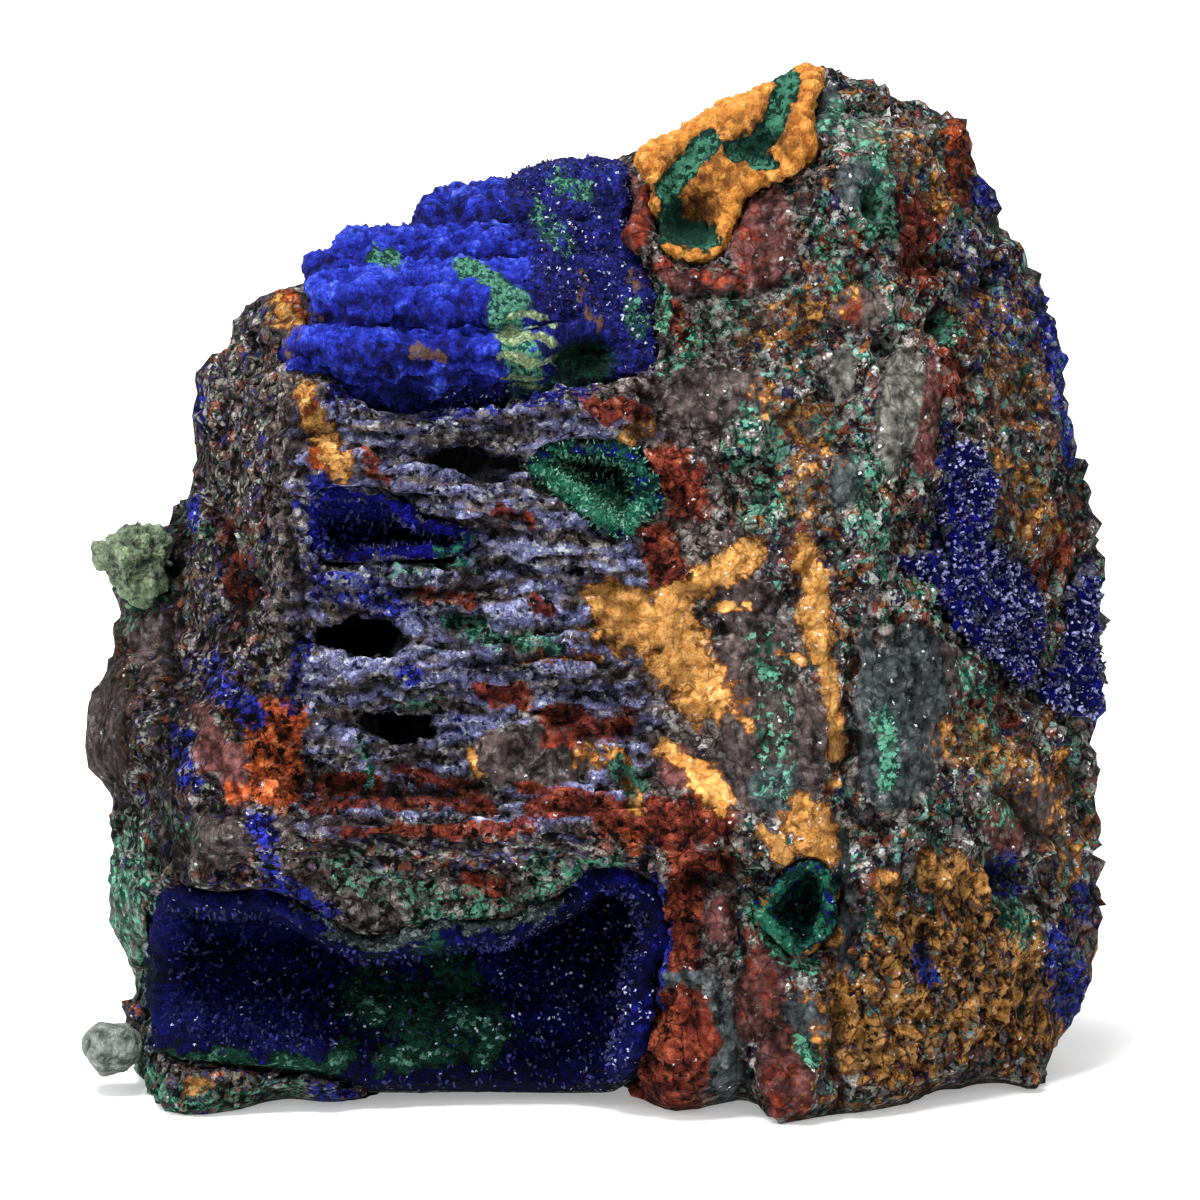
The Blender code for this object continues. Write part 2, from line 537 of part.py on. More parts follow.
GEODE_OUTLINE = (
    (2.8, 67.8), (3.9, 66.6), (3.8, 65.4), (4.2, 63.6), (4.1, 62.2), (5.0, 61.4), (6.6, 61.0), (8.3, 61.1),
    (9.0, 61.8), (9.2, 63.0), (9.8, 64.8), (10.3, 65.8), (12.5, 66.8), (14.1, 67.4), (15.2, 68.7),
    (15.3, 69.7),
    (14.8, 70.8), (14.7, 71.8), (15.3, 72.8), (15.7, 74.0), (14.8, 74.6), (13.2, 74.3),
    (12.0, 73.3), (10.5, 72.5),
    (8.6, 71.9), (7.0, 70.8), (5.5, 69.8), (3.9, 69.2), (2.9, 68.6),
)


def geode_front(u, w):
    """An ochre hollow with a proud rim, two swells and two green-lined troughs."""
    face = -9.9 + 0.36 * np.clip(w - 61.0, 0.0, None)
    bowl = 4.4 * mound(u, w, (6.4, 63.9), (2.9, 3.2)) + 2.6 * mound(u, w, (11.3, 69.0), (2.6, 1.7), 12)
    troughs = 1.9 * mound(u, w, (5.9, 67.6), (3.1, 1.1), 52) + 1.3 * mound(u, w, (12.9, 72.0), (2.6, 1.1), 58)
    swells = -1.0 * mound(u, w, (8.6, 67.6), (1.9, 2.6)) - 1.0 * mound(u, w, (13.6, 69.6), (1.6, 2.4))
    skyline = 1.2 * np.clip(above_line(u, w, ((2.0, 67.4), (8.0, 69.8), (12.0, 71.8), (15.6, 73.0))), 0.0, None)
    return face + bowl + troughs + swells + skyline


def geode_back(u, w):
    lean = 0.36 * np.clip(w - 61.0, 0.0, None) + 0.35 * np.clip(w - 70.0, 0.0, None)
    return -5.6 + lean + 3.6 * mound(u, w, (6.4, 63.9), (4.6, 4.8))


LOW_HOLLOW_MOUTH = (
    (11.1, 15.4, -14.0), (12.0, 16.8, -14.0), (13.3, 18.3, -14.0), (14.6, 19.1, -14.0), (16.2, 18.3, -13.8),
    (16.5, 16.0, -13.8), (16.2, 14.1, -13.8), (15.2, 12.5, -14.0), (13.8, 12.1, -14.2), (12.6, 13.3, -14.2),
    (11.6, 14.5, -14.2),
)


def low_hollow_floor(u, w):
    """A green hollow that is deepest under its upper right lip."""
    return -11.6 + 3.6 * mound(u, w, (14.8, 16.4), (3.6, 3.6))


VEIN_OUTLINE = (
    (20.8, 40.2), (22.5, 40.2), (24.8, 40.6), (24.4, 42.5), (24.3, 45.0), (24.9, 47.6),
    (25.8, 48.2), (27.2, 47.2),
    (27.7, 45.6), (27.0, 43.4), (27.4, 41.2), (29.0, 39.8), (30.6, 38.0), (31.0, 35.6),
    (30.5, 33.2), (30.0, 30.9),
    (28.2, 32.5), (26.2, 34.0), (25.0, 35.8), (23.6, 38.0), (21.6, 39.2),
)
EDGE_CRUST_OUTLINE = (
    (31.2, 31.3), (32.3, 32.4), (32.9, 34.0), (33.0, 37.0), (33.8, 39.2), (34.7, 38.6),
    (34.9, 36.2), (34.7, 33.2),
    (34.8, 30.4), (34.4, 28.8), (33.4, 28.9), (32.2, 29.6), (31.2, 30.3),
)


def right_face(u, w):
    """The rock's own front on the right side, with its turned rim, for crusts that lie on it."""
    plain = front_depth(u, w)
    rim = rim_depth(u, w)
    inward = np.clip((36.2 - u) / 12.5, 0.0, 1.0)
    return rim + (plain - rim) * np.sqrt(1.0 - (1.0 - inward) ** 2)


def build_ball(name, larger):
    """A lumpy ball of needles with one taller tuft on top."""
    ball = bmesh.new()
    bmesh.ops.create_icosphere(ball, subdivisions=2, radius=1.0)
    crown = max(ball.verts, key=lambda vert: vert.co.y)
    for vert in ball.verts:
        bump = 1.0 + 0.16 * noise.noise(vert.co * 2.4) + 0.10 * noise.noise(vert.co * 6.0 + Vector((3, 1, 2)))
        vert.co *= bump * (1.22 if vert == crown else 1.0)
    at, size = np.array((-32.3, 40.2, 3.6)), np.array((2.7, 2.35, 2.6)) + larger
    places = stand([at + size * np.array(vert.co) for vert in ball.verts])
    for vert, place in zip(ball.verts, places):
        vert.co = place
    ball.normal_update()
    bmesh.ops.recalc_face_normals(ball, faces=ball.faces)
    data = bpy.data.meshes.new(name)
    ball.to_mesh(data)
    ball.free()
    made = bpy.data.objects.new(name, data)
    bpy.context.scene.collection.objects.link(made)
    return made


def build_plate(name, larger):
    """A plate-shaped crystal with bevelled flat faces."""
    outline = (
        (-36.1, 5.6), (-35.9, 6.9), (-34.9, 7.6), (-33.1, 7.6), (-32.1, 6.8), (-32.0, 5.4), (-32.9, 4.4),
        (-34.8, 4.0),
    )
    edge = np.array(outline) + outward(np.array(outline)) * larger
    middle = edge.mean(axis=0)
    depths = (-3.2 - larger, -2.0 - larger, 1.6 + larger, 2.8 + larger)
    rings = [ring(toward(edge, middle, share), depth) for share, depth in zip((0.72, 1.0, 1.0, 0.72), depths)]
    return add_solid(name, rings, [], [])


def build():
    noise.seed_set(NET_SEED)
    for old in list(bpy.data.objects):
        bpy.data.objects.remove(old)
    rock = build_rock()
    table = build_table()

    steps = [[(-21.5, w), (-4.0, w)] for w in (52.9, 54.6, 56.1, 58.6, 60.7, 63.1, 65.7)]
    terraces = add_slab(
        "azurite_terraces", rock, TERRACE_OUTLINE, 1.45, 5.0, 60, terrace_front, terrace_back, 3, 0.3, steps
    )
    finish(terraces, (0.008, 0.020, 0.38), 0.75)

    cave = add_lining("azurite_cave_lining", rock, CAVE_MOUTH, 1.9, cave_floor, cave_shell, 1.5, 0.6, 56, 5, 0.6)
    finish(cave, (0.004, 0.006, 0.09), 0.45)
    cut(cave, table)

    pocket = add_lining(
        "malachite_pocket_lining", rock, POCKET_MOUTH, 1.4, pocket_floor, lambda u, w: -3.2 + 0 * u,
        1.0, 0.4, 22, 7
    )
    finish(pocket, (0.03, 0.19, 0.10), 0.6)

    slit = add_lining(
        "azurite_slit_lining", rock, SLIT_MOUTH, 1.2, slit_floor, lambda u, w: -2.8 + 0 * u, 0.6, 0.3, 24, 9
    )
    finish(slit, (0.006, 0.008, 0.12), 0.45)

    low = add_lining(
        "malachite_hollow_lining", rock, LOW_HOLLOW_MOUTH, 1.4, low_hollow_floor, lambda u, w: -6.6 + 0 * u,
        0.8, 0.3, 18, 11
    )
    finish(low, (0.02, 0.16, 0.11), 0.6)

    geode = add_slab("limonite_geode", rock, GEODE_OUTLINE, 1.2, 4.0, 42, geode_front, geode_back, 13, 0.3)
    finish(geode, (0.50, 0.22, 0.05), 0.85)

    vein = add_slab(
        "azurite_vein", rock, VEIN_OUTLINE, 1.5, 3.5, 34,
        lambda u, w: right_face(u, w) - 0.6, lambda u, w: right_face(u, w) + 1.8, 15, 0.35,
    )
    finish(vein, (0.005, 0.006, 0.12), 0.4)

    edge_crust = add_slab(
        "azurite_edge_crust", rock, EDGE_CRUST_OUTLINE, 1.6, 3.5, 24,
        lambda u, w: 1.3 * (u - 31.4), lambda u, w: 1.3 * (u - 31.4) + 2.4, 17, 0.3,
    )
    finish(edge_crust, (0.005, 0.008, 0.14), 0.4)

    slit = ((-19.3, 34.2), (-18.8, 35.8), (-15.4, 35.2), (-13.4, 34.3), (-13.6, 33.4), (-18.2, 33.2))
    cut_slit("middle_slit", rock, slit, -6.0)
    slit = ((-16.4, 28.6), (-15.6, 29.4), (-12.0, 29.0), (-11.3, 28.0), (-12.2, 27.5), (-15.8, 28.0))
    cut_slit("lower_slit", rock, slit, -7.0)
    slit = ((-11.8, 46.9), (-9.9, 48.2), (-8.4, 47.6), (-5.9, 47.2), (-5.9, 46.3), (-9.6, 46.6))
    cut_slit("upper_slit", rock, slit, -6.5)

    finish(build_ball("malachite_tuft", 0.0), (0.14, 0.20, 0.13), 0.7)
    cut(rock, build_ball("malachite_tuft_seat", FIT_GAP))
    finish(build_plate("pale_plate_crystal", 0.0), (0.22, 0.25, 0.23), 0.3)
    cut(rock, build_plate("pale_plate_seat", FIT_GAP))
    cut(rock, table)


build()
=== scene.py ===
import math

import bmesh
import bpy
import numpy as np
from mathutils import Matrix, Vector, noise


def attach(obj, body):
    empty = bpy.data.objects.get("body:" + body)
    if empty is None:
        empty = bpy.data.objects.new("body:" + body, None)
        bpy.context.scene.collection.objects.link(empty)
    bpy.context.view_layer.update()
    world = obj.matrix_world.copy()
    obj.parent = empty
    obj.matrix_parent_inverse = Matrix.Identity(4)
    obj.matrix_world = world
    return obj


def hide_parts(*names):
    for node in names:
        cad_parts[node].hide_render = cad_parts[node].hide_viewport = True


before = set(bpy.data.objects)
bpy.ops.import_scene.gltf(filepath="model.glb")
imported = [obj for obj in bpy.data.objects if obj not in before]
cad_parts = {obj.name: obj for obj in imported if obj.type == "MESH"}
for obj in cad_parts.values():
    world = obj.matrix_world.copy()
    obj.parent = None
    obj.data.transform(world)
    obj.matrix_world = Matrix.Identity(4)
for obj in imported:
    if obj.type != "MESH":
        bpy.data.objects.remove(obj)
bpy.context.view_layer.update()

# The view of the specimen, in millimetres of the drawing: u runs right, w up and d away from the eye.
# It is seen through a long lens from a little above level, so near parts look only slightly larger.
MM = 0.001
SIGHT_FALLS = math.radians(6)
EYE_DISTANCE = 560.0
SIGHT_AT = (0.14, 37.24)
SIGHT_HEIGHT = 34.3
DRAWING_SHIFT = (-0.03, -3.24)


def placed(u, w, d):
    """The place in the room of a drawn point."""
    spread = 1.0 + d / EYE_DISTANCE
    up = (w - SIGHT_AT[1]) * spread
    x = SIGHT_AT[0] + (u - SIGHT_AT[0]) * spread + DRAWING_SHIFT[0]
    y = d * math.cos(SIGHT_FALLS) + up * math.sin(SIGHT_FALLS) + DRAWING_SHIFT[1]
    z = SIGHT_HEIGHT - d * math.sin(SIGHT_FALLS) + up * math.cos(SIGHT_FALLS)
    return Vector((x, y, z)) * MM


def added(name, data):
    """A new object with its data, in the scene."""
    item = bpy.data.objects.new(name, data)
    bpy.context.scene.collection.objects.link(item)
    return item


lens = bpy.data.cameras.new("camera")
lens.lens = 240.0
lens.sensor_width = 36.0
lens.clip_start = 0.01
camera = added("camera", lens)
camera.location = placed(*SIGHT_AT, -EYE_DISTANCE)
camera.rotation_euler = (math.pi / 2 - SIGHT_FALLS, 0.0, 0.0)
bpy.context.scene.camera = camera


# The host rock: quartz, clay and iron stone, in thin beds at the left and as crumbly grains at the right.
# Ochre and rust are its iron oxides; blue azurite and green malachite grew over its broken faces.
def drawn(points):
    """The drawing's u, w and d of points in the room."""
    points = np.asarray(points, float) / MM
    y, z = points[:, 1] - DRAWING_SHIFT[1], points[:, 2] - SIGHT_HEIGHT
    away = y * math.cos(SIGHT_FALLS) - z * math.sin(SIGHT_FALLS)
    up = y * math.sin(SIGHT_FALLS) + z * math.cos(SIGHT_FALLS)
    spread = 1.0 + away / EYE_DISTANCE
    along = (points[:, 0] - DRAWING_SHIFT[0] - SIGHT_AT[0]) / spread
    return along + SIGHT_AT[0], up / spread + SIGHT_AT[1], away


class Wire:
    """An output socket that adds, subtracts and multiplies as a number does."""

    def __init__(self, tree, socket=None):
        self.tree = tree
        self.socket = socket

    def add(self, kind, settings=None, sockets=None, out=0):
        """A node of a kind: first its settings, then its sockets as values or links."""
        node = self.tree.nodes.new(kind)
        for name, value in (settings or {}).items():
            if name == "stops":
                ramp = node.color_ramp.elements
                while len(ramp) < len(value):
                    ramp.new(0.5)
                for stop, (place, *colour) in zip(ramp, value):
                    stop.position = place
                    stop.color = paint(*colour) if len(colour) == 3 else (*(colour * 3), 1.0)
            elif name == "steps":
                node.color_ramp.interpolation = value
            else:
                setattr(node, name, value)
        for name, value in (sockets or {}).items():
            if isinstance(value, Wire):
                self.tree.links.new(value.socket, node.inputs[name])
            else:
                node.inputs[name].default_value = value
        return Wire(self.tree, node.outputs[out])

    def math(self, operation, first, second=0.0):
        return self.add("ShaderNodeMath", {"operation": operation}, {0: first, 1: second})

    def __add__(self, other):
        return self.math("ADD", self, other)

    def __sub__(self, other):
        return self.math("SUBTRACT", self, other)

    def __rsub__(self, other):
        return self.math("SUBTRACT", other, self)

    def __mul__(self, other):
        return self.math("MULTIPLY", self, other)

    __radd__ = __add__
    __rmul__ = __mul__

    def clipped(self):
        return self.add("ShaderNodeClamp", None, {0: self})

    def ramp(self, stops, steps="LINEAR"):
        """The colour at this number, between stops of a place and a paint, or a place and one grey."""
        return self.add("ShaderNodeValToRGB", {"stops": stops, "steps": steps}, {0: self})

    def under(self, colour, share):
        """This colour with another laid over it by a share from 0 to 1."""
        return self.add("ShaderNodeMix", {"data_type": "RGBA"}, {0: share, 6: self, 7: colour}, 2)

    def lit(self, share):
        """This colour made darker or lighter by a number."""
        return self.add("ShaderNodeVectorMath", {"operation": "SCALE"}, {0: self, "Scale": share})

    def moved(self, by):
        return self.add("ShaderNodeVectorMath", {"operation": "ADD"}, {0: self, 1: by})

    def stretched(self, by):
        return self.add("ShaderNodeVectorMath", {"operation": "MULTIPLY"}, {0: self, 1: by})


def paint(red, green, blue):
    """A colour that reads as 0 to 255 on a screen."""
    parts = [c / 255.0 for c in (red, green, blue)]
    return (*[c / 12.92 if c <= 0.04045 else ((c + 0.055) / 1.055) ** 2.4 for c in parts], 1.0)


def new_finish(name):
    """A material, a wire to build it with, and the piece's own millimetres."""
    material = bpy.data.materials.new(name)
    material.use_nodes = True
    wire = Wire(material.node_tree)
    place = wire.add("ShaderNodeTexCoord", None, None, "Object").stretched((1000.0, 1000.0, 1000.0))
    return material, wire, place


def grain(place, size, seed=0.0, detail=3.0):
    """Noise of a grain size in millimetres, spread between 0 and 1."""
    sockets = {"Vector": place.moved((seed, 1.7 * seed, 0.6 * seed)), "Scale": 1.0 / size, "Detail": detail,
               "Roughness": 0.6}
    return ((place.add("ShaderNodeTexNoise", None, sockets) - 0.5) * 2.1 + 0.5).clipped()


def swayed(place, scale, reach, by):
    """Places pushed about by noise and moved on, so that the cells found at them have ragged sides."""
    sway = place.add("ShaderNodeTexNoise", None, {"Vector": place, "Scale": scale, "Detail": 1.0}, "Color")
    return place.moved(sway.stretched((reach,) * 3)).moved(by)


def granules(place, size, seed=0.0):
    """Crystal grains of a size: a number for each grain, and how far a point is from its grain's middle."""
    ragged_place = swayed(place, 1.5 / size, 1.5 * size, (seed, seed, -seed))
    sockets = {"Vector": ragged_place, "Scale": 1.0 / size}
    cells = place.add("ShaderNodeTexVoronoi", None, sockets, "Color")
    from_middle = Wire(place.tree, cells.socket.node.outputs["Distance"])
    return place.add("ShaderNodeSeparateColor", None, {0: cells}), from_middle


def seams(place, size, seed=0.0):
    """Thin cracks between broken blocks of a size: 1 in a crack and 0 beside it."""
    sockets = {"Vector": swayed(place, 1.2 / size, 0.9 * size, (seed, -seed, seed)), "Scale": 1.0 / size}
    from_edge = place.add("ShaderNodeTexVoronoi", {"feature": "DISTANCE_TO_EDGE"}, sockets)
    return (1.0 - from_edge * 14.0).clipped()


def mask(wire, name):
    """A cover worked out on the mesh, from 0 to 1."""
    return wire.add("ShaderNodeAttribute", {"attribute_name": name}, None, "Fac")


def ragged(cover, rough, sharp=7.0):
    """Where a mineral shows: its cover against a grain, with crisp edges."""
    return ((cover - rough) * sharp).clipped()


def close_finish(material, wire, colour, roughness, height, specular=0.5):
    """The shader's sockets; the height is in millimetres."""
    shader = wire.tree.nodes["Principled BSDF"]
    normal = wire.add("ShaderNodeBump", None, {"Height": height, "Strength": 1.0, "Distance": MM})
    wire.tree.links.new(colour.socket, shader.inputs["Base Color"])
    wire.tree.links.new(roughness.socket, shader.inputs["Roughness"])
    wire.tree.links.new(normal.socket, shader.inputs["Normal"])
    shader.inputs["Specular IOR Level"].default_value = specular
    return material


def ease(low, high, x):
    """0 at low, 1 at high, and smooth between."""
    share = np.clip((x - low) / (high - low), 0.0, 1.0)
    return share * share * (3.0 - 2.0 * share)


def spot(u, w, at, size, turn=0.0):
    """1 in the middle of an oval, falling to 0 at its edge."""
    cosine, sine = math.cos(math.radians(turn)), math.sin(math.radians(turn))
    along = ((u - at[0]) * cosine + (w - at[1]) * sine) / size[0]
    across = ((w - at[1]) * cosine - (u - at[0]) * sine) / size[1]
    return np.clip(1.0 - along**2 - across**2, 0.0, None)


def off_line(u, w, line):
    """Distance in the drawing from the nearest point of a line."""
    best = np.full(len(u), 1e9)
    for near, far in zip(line, line[1:]):
        step = (far[0] - near[0], far[1] - near[1])
        share = ((u - near[0]) * step[0] + (w - near[1]) * step[1]) / (step[0] ** 2 + step[1] ** 2)
        share = np.clip(share, 0.0, 1.0)
        best = np.minimum(best, np.hypot(u - near[0] - share * step[0], w - near[1] - share * step[1]))
    return best


def stain(u, w, streaks):
    """How much of a mineral shows. A streak is its line, half its width and its strength."""
    found = np.zeros(len(u))
    for line, width, strength in streaks:
        found = np.maximum(found, strength * np.clip(1.5 - off_line(u, w, line) / width, 0.0, 1.0))
    return found


def on_line(u, w, line, width):
    """1 on a line of the drawing, falling off smoothly over a width."""
    return np.exp(-((off_line(u, w, line) / width) ** 2))


def cover_of(u, w, spots):
    """1 over the middle of each oval block, with a short fade at its edge."""
    found = np.zeros(len(u))
    for at, size, turn in spots:
        found = np.maximum(found, np.clip(2.2 * spot(u, w, at, size, turn), 0.0, 1.0))
    return found


def lumps(points, size, seed=0, octaves=3):
    """Rough relief of a grain size in millimetres, about from -1 to 1."""
    offset = Vector((seed * 13.7, seed * 7.9, seed * 3.1))
    return np.array([noise.fractal(Vector(p) / size + offset, 0.8, 2.0, octaves) for p in points])


def chips(points, size, seed=0):
    """Grains with flat tops: 0 at their seams and 1 inside."""
    offset = Vector((seed * 5.3, seed * 9.1, seed * 2.7))
    near = [noise.voronoi(Vector(p) / size + offset)[0] for p in points]
    return np.clip(np.array([d[1] - d[0] for d in near]) * 2.2, 0.0, 1.0)


def facets(points, size, seed=0):
    """Broken faces: flat grains, each tilted its own way at its own height, about from -1 to 1."""
    offset = Vector((seed * 3.3, seed * 8.7, seed * 6.1))
    found = []
    for p in points:
        at = Vector(p) / size + offset
        middle = noise.voronoi(at)[1][0]
        tilt = noise.cell_vector(middle * 17.0) - Vector((0.5, 0.5, 0.5))
        found.append(1.2 * tilt.z + 1.6 * (at - middle).dot(tilt))
    return np.array(found)


def net_of(node, size, finer=None):
    """A node's solid as an even net with cells of a size in millimetres, halved where finer says."""
    merged = bmesh.new()
    merged.from_mesh(bpy.data.objects[node].data)
    bmesh.ops.remove_doubles(merged, verts=merged.verts, dist=1e-6)
    whole = added(node + "_net", bpy.data.meshes.new(node + "_net"))
    merged.to_mesh(whole.data)
    merged.free()
    remesh = whole.modifiers.new("remesh", "REMESH")
    remesh.mode = "VOXEL"
    remesh.voxel_size = size * MM
    made = bpy.data.meshes.new_from_object(whole.evaluated_get(bpy.context.evaluated_depsgraph_get()))
    bpy.data.objects.remove(whole)
    even = bmesh.new()
    even.from_mesh(made)
    if finer is not None:
        chosen = finer(np.array([v.co[:] for v in even.verts]), np.array([v.normal[:] for v in even.verts]))
        edges = [e for e in even.edges if chosen[e.verts[0].index] and chosen[e.verts[1].index]]
        bmesh.ops.subdivide_edges(even, edges=edges, cuts=1, use_grid_fill=True)
    for _ in range(2):
        every_way = {"use_axis_x": True, "use_axis_y": True, "use_axis_z": True}
        bmesh.ops.smooth_vert(even, verts=even.verts, factor=0.5, **every_way)
    bmesh.ops.triangulate(even, faces=even.faces)
    even.normal_update()
    places = np.array([v.co[:] for v in even.verts])
    normals = np.array([v.normal[:] for v in even.verts])
    even.to_mesh(made)
    even.free()
    return made, places, normals


def dress(node, mesh, places, normals, relief, masks, material):
    """The skin of a node: its net moved out by a relief in millimetres, with its masks and its finish."""
    above_table = ease(0.0, 1.0, places[:, 2] / MM)
    moved = places + normals * (relief * above_table * MM)[:, None]
    moved[:, 2] = np.maximum(moved[:, 2], 0.0)
    mesh.vertices.foreach_set("co", moved.astype(np.float32).ravel())
    for name, values in masks.items():
        layer = mesh.attributes.new(name, "FLOAT", "POINT")
        layer.data.foreach_set("value", np.clip(values, 0.0, 1.0).astype(np.float32))
    mesh.polygons.foreach_set("use_smooth", np.ones(len(mesh.polygons), bool))
    mesh.update()
    mesh.materials.clear()
    mesh.materials.append(material)
    skin = added(node + "_skin", mesh)
    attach(skin, "root")
    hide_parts(node)
    return skin


def front_of_rock(places, normals):
    """Where the rock is seen in the drawing, which gets the finer net."""
    return (normals[:, 1] < 0.2) & (drawn(places)[2] < 4.0)


rock_mesh, places, normals = net_of("iron_stained_rock", 0.77, front_of_rock)
u, w, d = drawn(places)
own = places / MM
big_lumps = lumps(own, 3.2, 1)
fine_lumps = lumps(own, 0.9, 2)
seen = 1.0 - ease(5.0, 11.0, d + 3.0 * big_lumps + 4.0 * lumps(own, 7.0, 8))
hidden = 1.0 - seen
bed_lumps = lumps(np.stack([u / 5.0, w, d / 3.0], 1), 0.75, 3)
grains = chips(own + big_lumps[:, None] * 0.5, 1.5, 4)
blocks = facets(own + fine_lumps[:, None] * 0.3, 2.6, 5)
splinters = facets(np.stack([u / 3.5, w, d / 2.5], 1) + fine_lumps[:, None] * 0.15, 1.1, 6)
swayed_w = w + 0.1 * u + 1.2 * big_lumps
bedding = np.sin(2 * math.pi * swayed_w / 1.45)

beds = ease(-24.0, -20.0, u) * (1 - ease(2.0, 7.0, u)) * ease(16.5, 19.0, w) * (1 - ease(50.0, 53.0, w))
crumbly = ease(6.0, 11.0, u)
STONE = (
    ((-4.7, 26.4), (4.9, 2.6), 3), ((11.4, 29.6), (3.5, 8.6), 0), ((8.6, 25), (2.6, 2.4), 0),
    ((14.6, 27.6), (1.7, 4.6), 0), ((10.6, 36.8), (2.4, 2.6), 0), ((-35, 28.8), (2.4, 6), 0),
    ((-31.6, 35.6), (1.6, 4.6), 6), ((8, 51.5), (4.4, 2.4), 0), ((18.4, 57.6), (2.2, 1.8), 0),
    ((23, 33), (4, 2.2), -30), ((-26.6, 20.4), (3, 2), 0), ((30.8, 22.6), (1.8, 3), -10),
)
SLATE = (
    ((21.4, 29), (3.4, 7.6), -6), ((18.7, 30), (0.7, 7.4), -2), ((15.9, 71.4), (1.5, 1.9), 0),
    ((12.4, 24.2), (2.4, 2), 0), ((8.6, 6.4), (1.7, 5.4), 4), ((17.4, 45.6), (1.4, 2.6), -12),
    ((17.3, 15), (0.7, 7), 0), ((14.4, 8), (2.2, 2), -40), ((18.8, 66.2), (2.4, 2.2), 0),
    ((5.8, 11), (3.2, 0.8), -4),
)
MAUVE = (
    ((11.6, 62.6), (2.5, 4.2), -4), ((2.4, 64.4), (1.5, 3.2), 8), ((7.2, 59.6), (3.6, 0.9), -6),
    ((11.5, 10), (1.9, 4.2), -14), ((13.2, 4), (2.2, 4.2), 12), ((22.9, 50), (1.2, 5), -4),
    ((8.6, 14.6), (1.4, 2.2), 0), ((5.6, 25.6), (1.6, 1.8), 0), ((-25.4, 25), (1.4, 3), 10),
    ((28.4, 21.4), (1.6, 2.6), 20), ((-27.4, 27.6), (1.2, 3), 12),
)
QUARTZ = (
    ((21, 50.6), (1.7, 5.2), -8), ((16.9, 53.2), (1.3, 2.2), 0), ((18.6, 70), (1.3, 1.4), 0),
    ((-33, 14.6), (1.5, 4.6), 4),
)
stone, slate, mauve, quartz = (
    cover_of(u + 0.4 * big_lumps, w + 0.5 * fine_lumps, spots) for spots in (STONE, SLATE, MAUVE, QUARTZ)
)
smooth = np.maximum(np.maximum(stone, slate), np.maximum(mauve, quartz)) * seen

PITS = (
    ((19.5, 65.2), (1.3, 1.9)), ((24, 56.6), (1.3, 1.4)), ((20, 55.2), (1.1, 1)), ((29, 18.2), (1.7, 1.5)),
    ((4.2, 33.8), (0.5, 0.5)), ((-9.5, 35.8), (2.4, 0.6)), ((-2.5, 28.6), (1.2, 0.4)),
    ((8.8, 35.2), (0.4, 0.8)), ((-13, 44.2), (1.6, 0.5)), ((-9, 33), (1.4, 0.4)), ((23.4, 61), (0.8, 1.2)),
    ((27.8, 60), (0.8, 1.4)),
)
pitted = np.zeros(len(u))
for at, size in PITS:
    pitted = np.maximum(pitted, spot(u, w, at, size))
GROOVES = (
    ((-21, 49), (-14, 48.6), (-11.5, 47.6)), ((-20.5, 38.4), (-14, 38), (-7, 38.1)),
    ((-19, 31), (-10.5, 31.3)), ((-21.5, 24.4), (-14, 23.8), (-8.5, 24.3)), ((3.3, 51.6), (3, 48)),
    ((17, 2), (17.3, 15), (17.9, 36)), ((8.5, 20), (10.2, 14), (9.8, 3)),
    ((4.5, 59), (10.5, 58.4), (14, 60)), ((24.5, 36), (30, 30.2), (35.5, 27.2)), ((18.5, 22), (23, 21.5)),
    ((-27.5, 45), (-24.5, 38), (-25.5, 33)), ((2, 22.6), (2.6, 27.5), (0.5, 31)),
    ((-29.7, 42), (-29.8, 34), (-30.2, 26)), ((-22, 45), (-21, 36), (-21.6, 29)),
    ((-7, 33.2), (-1, 33.4), (2, 32.2)), ((5, 17.4), (9.5, 17.6)), ((28, 24), (32, 20)),
)
groove = np.zeros(len(u))
for line in GROOVES:
    groove = np.maximum(groove, on_line(u + 0.8 * big_lumps, w + 0.6 * big_lumps, line, 0.4))

rough = 1 - 0.7 * smooth
relief = 0.45 * big_lumps + (0.25 * fine_lumps + 0.55 * blocks * (1 - 0.5 * beds)) * rough + 0.2 * smooth
relief += beds * (0.35 * bed_lumps + 0.20 * bedding + 0.45 * splinters * rough)
relief += (0.25 + 0.25 * crumbly) * (grains - 0.6) * rough
fine_relief = np.clip(relief - 0.45 * big_lumps, -0.42, 1.0)
relief = fine_relief + 0.45 * big_lumps - (1.4 * pitted + 0.6 * groove) * seen
relief *= 1 - 0.8 * ease(0.3, 0.8, -normals[:, 2])

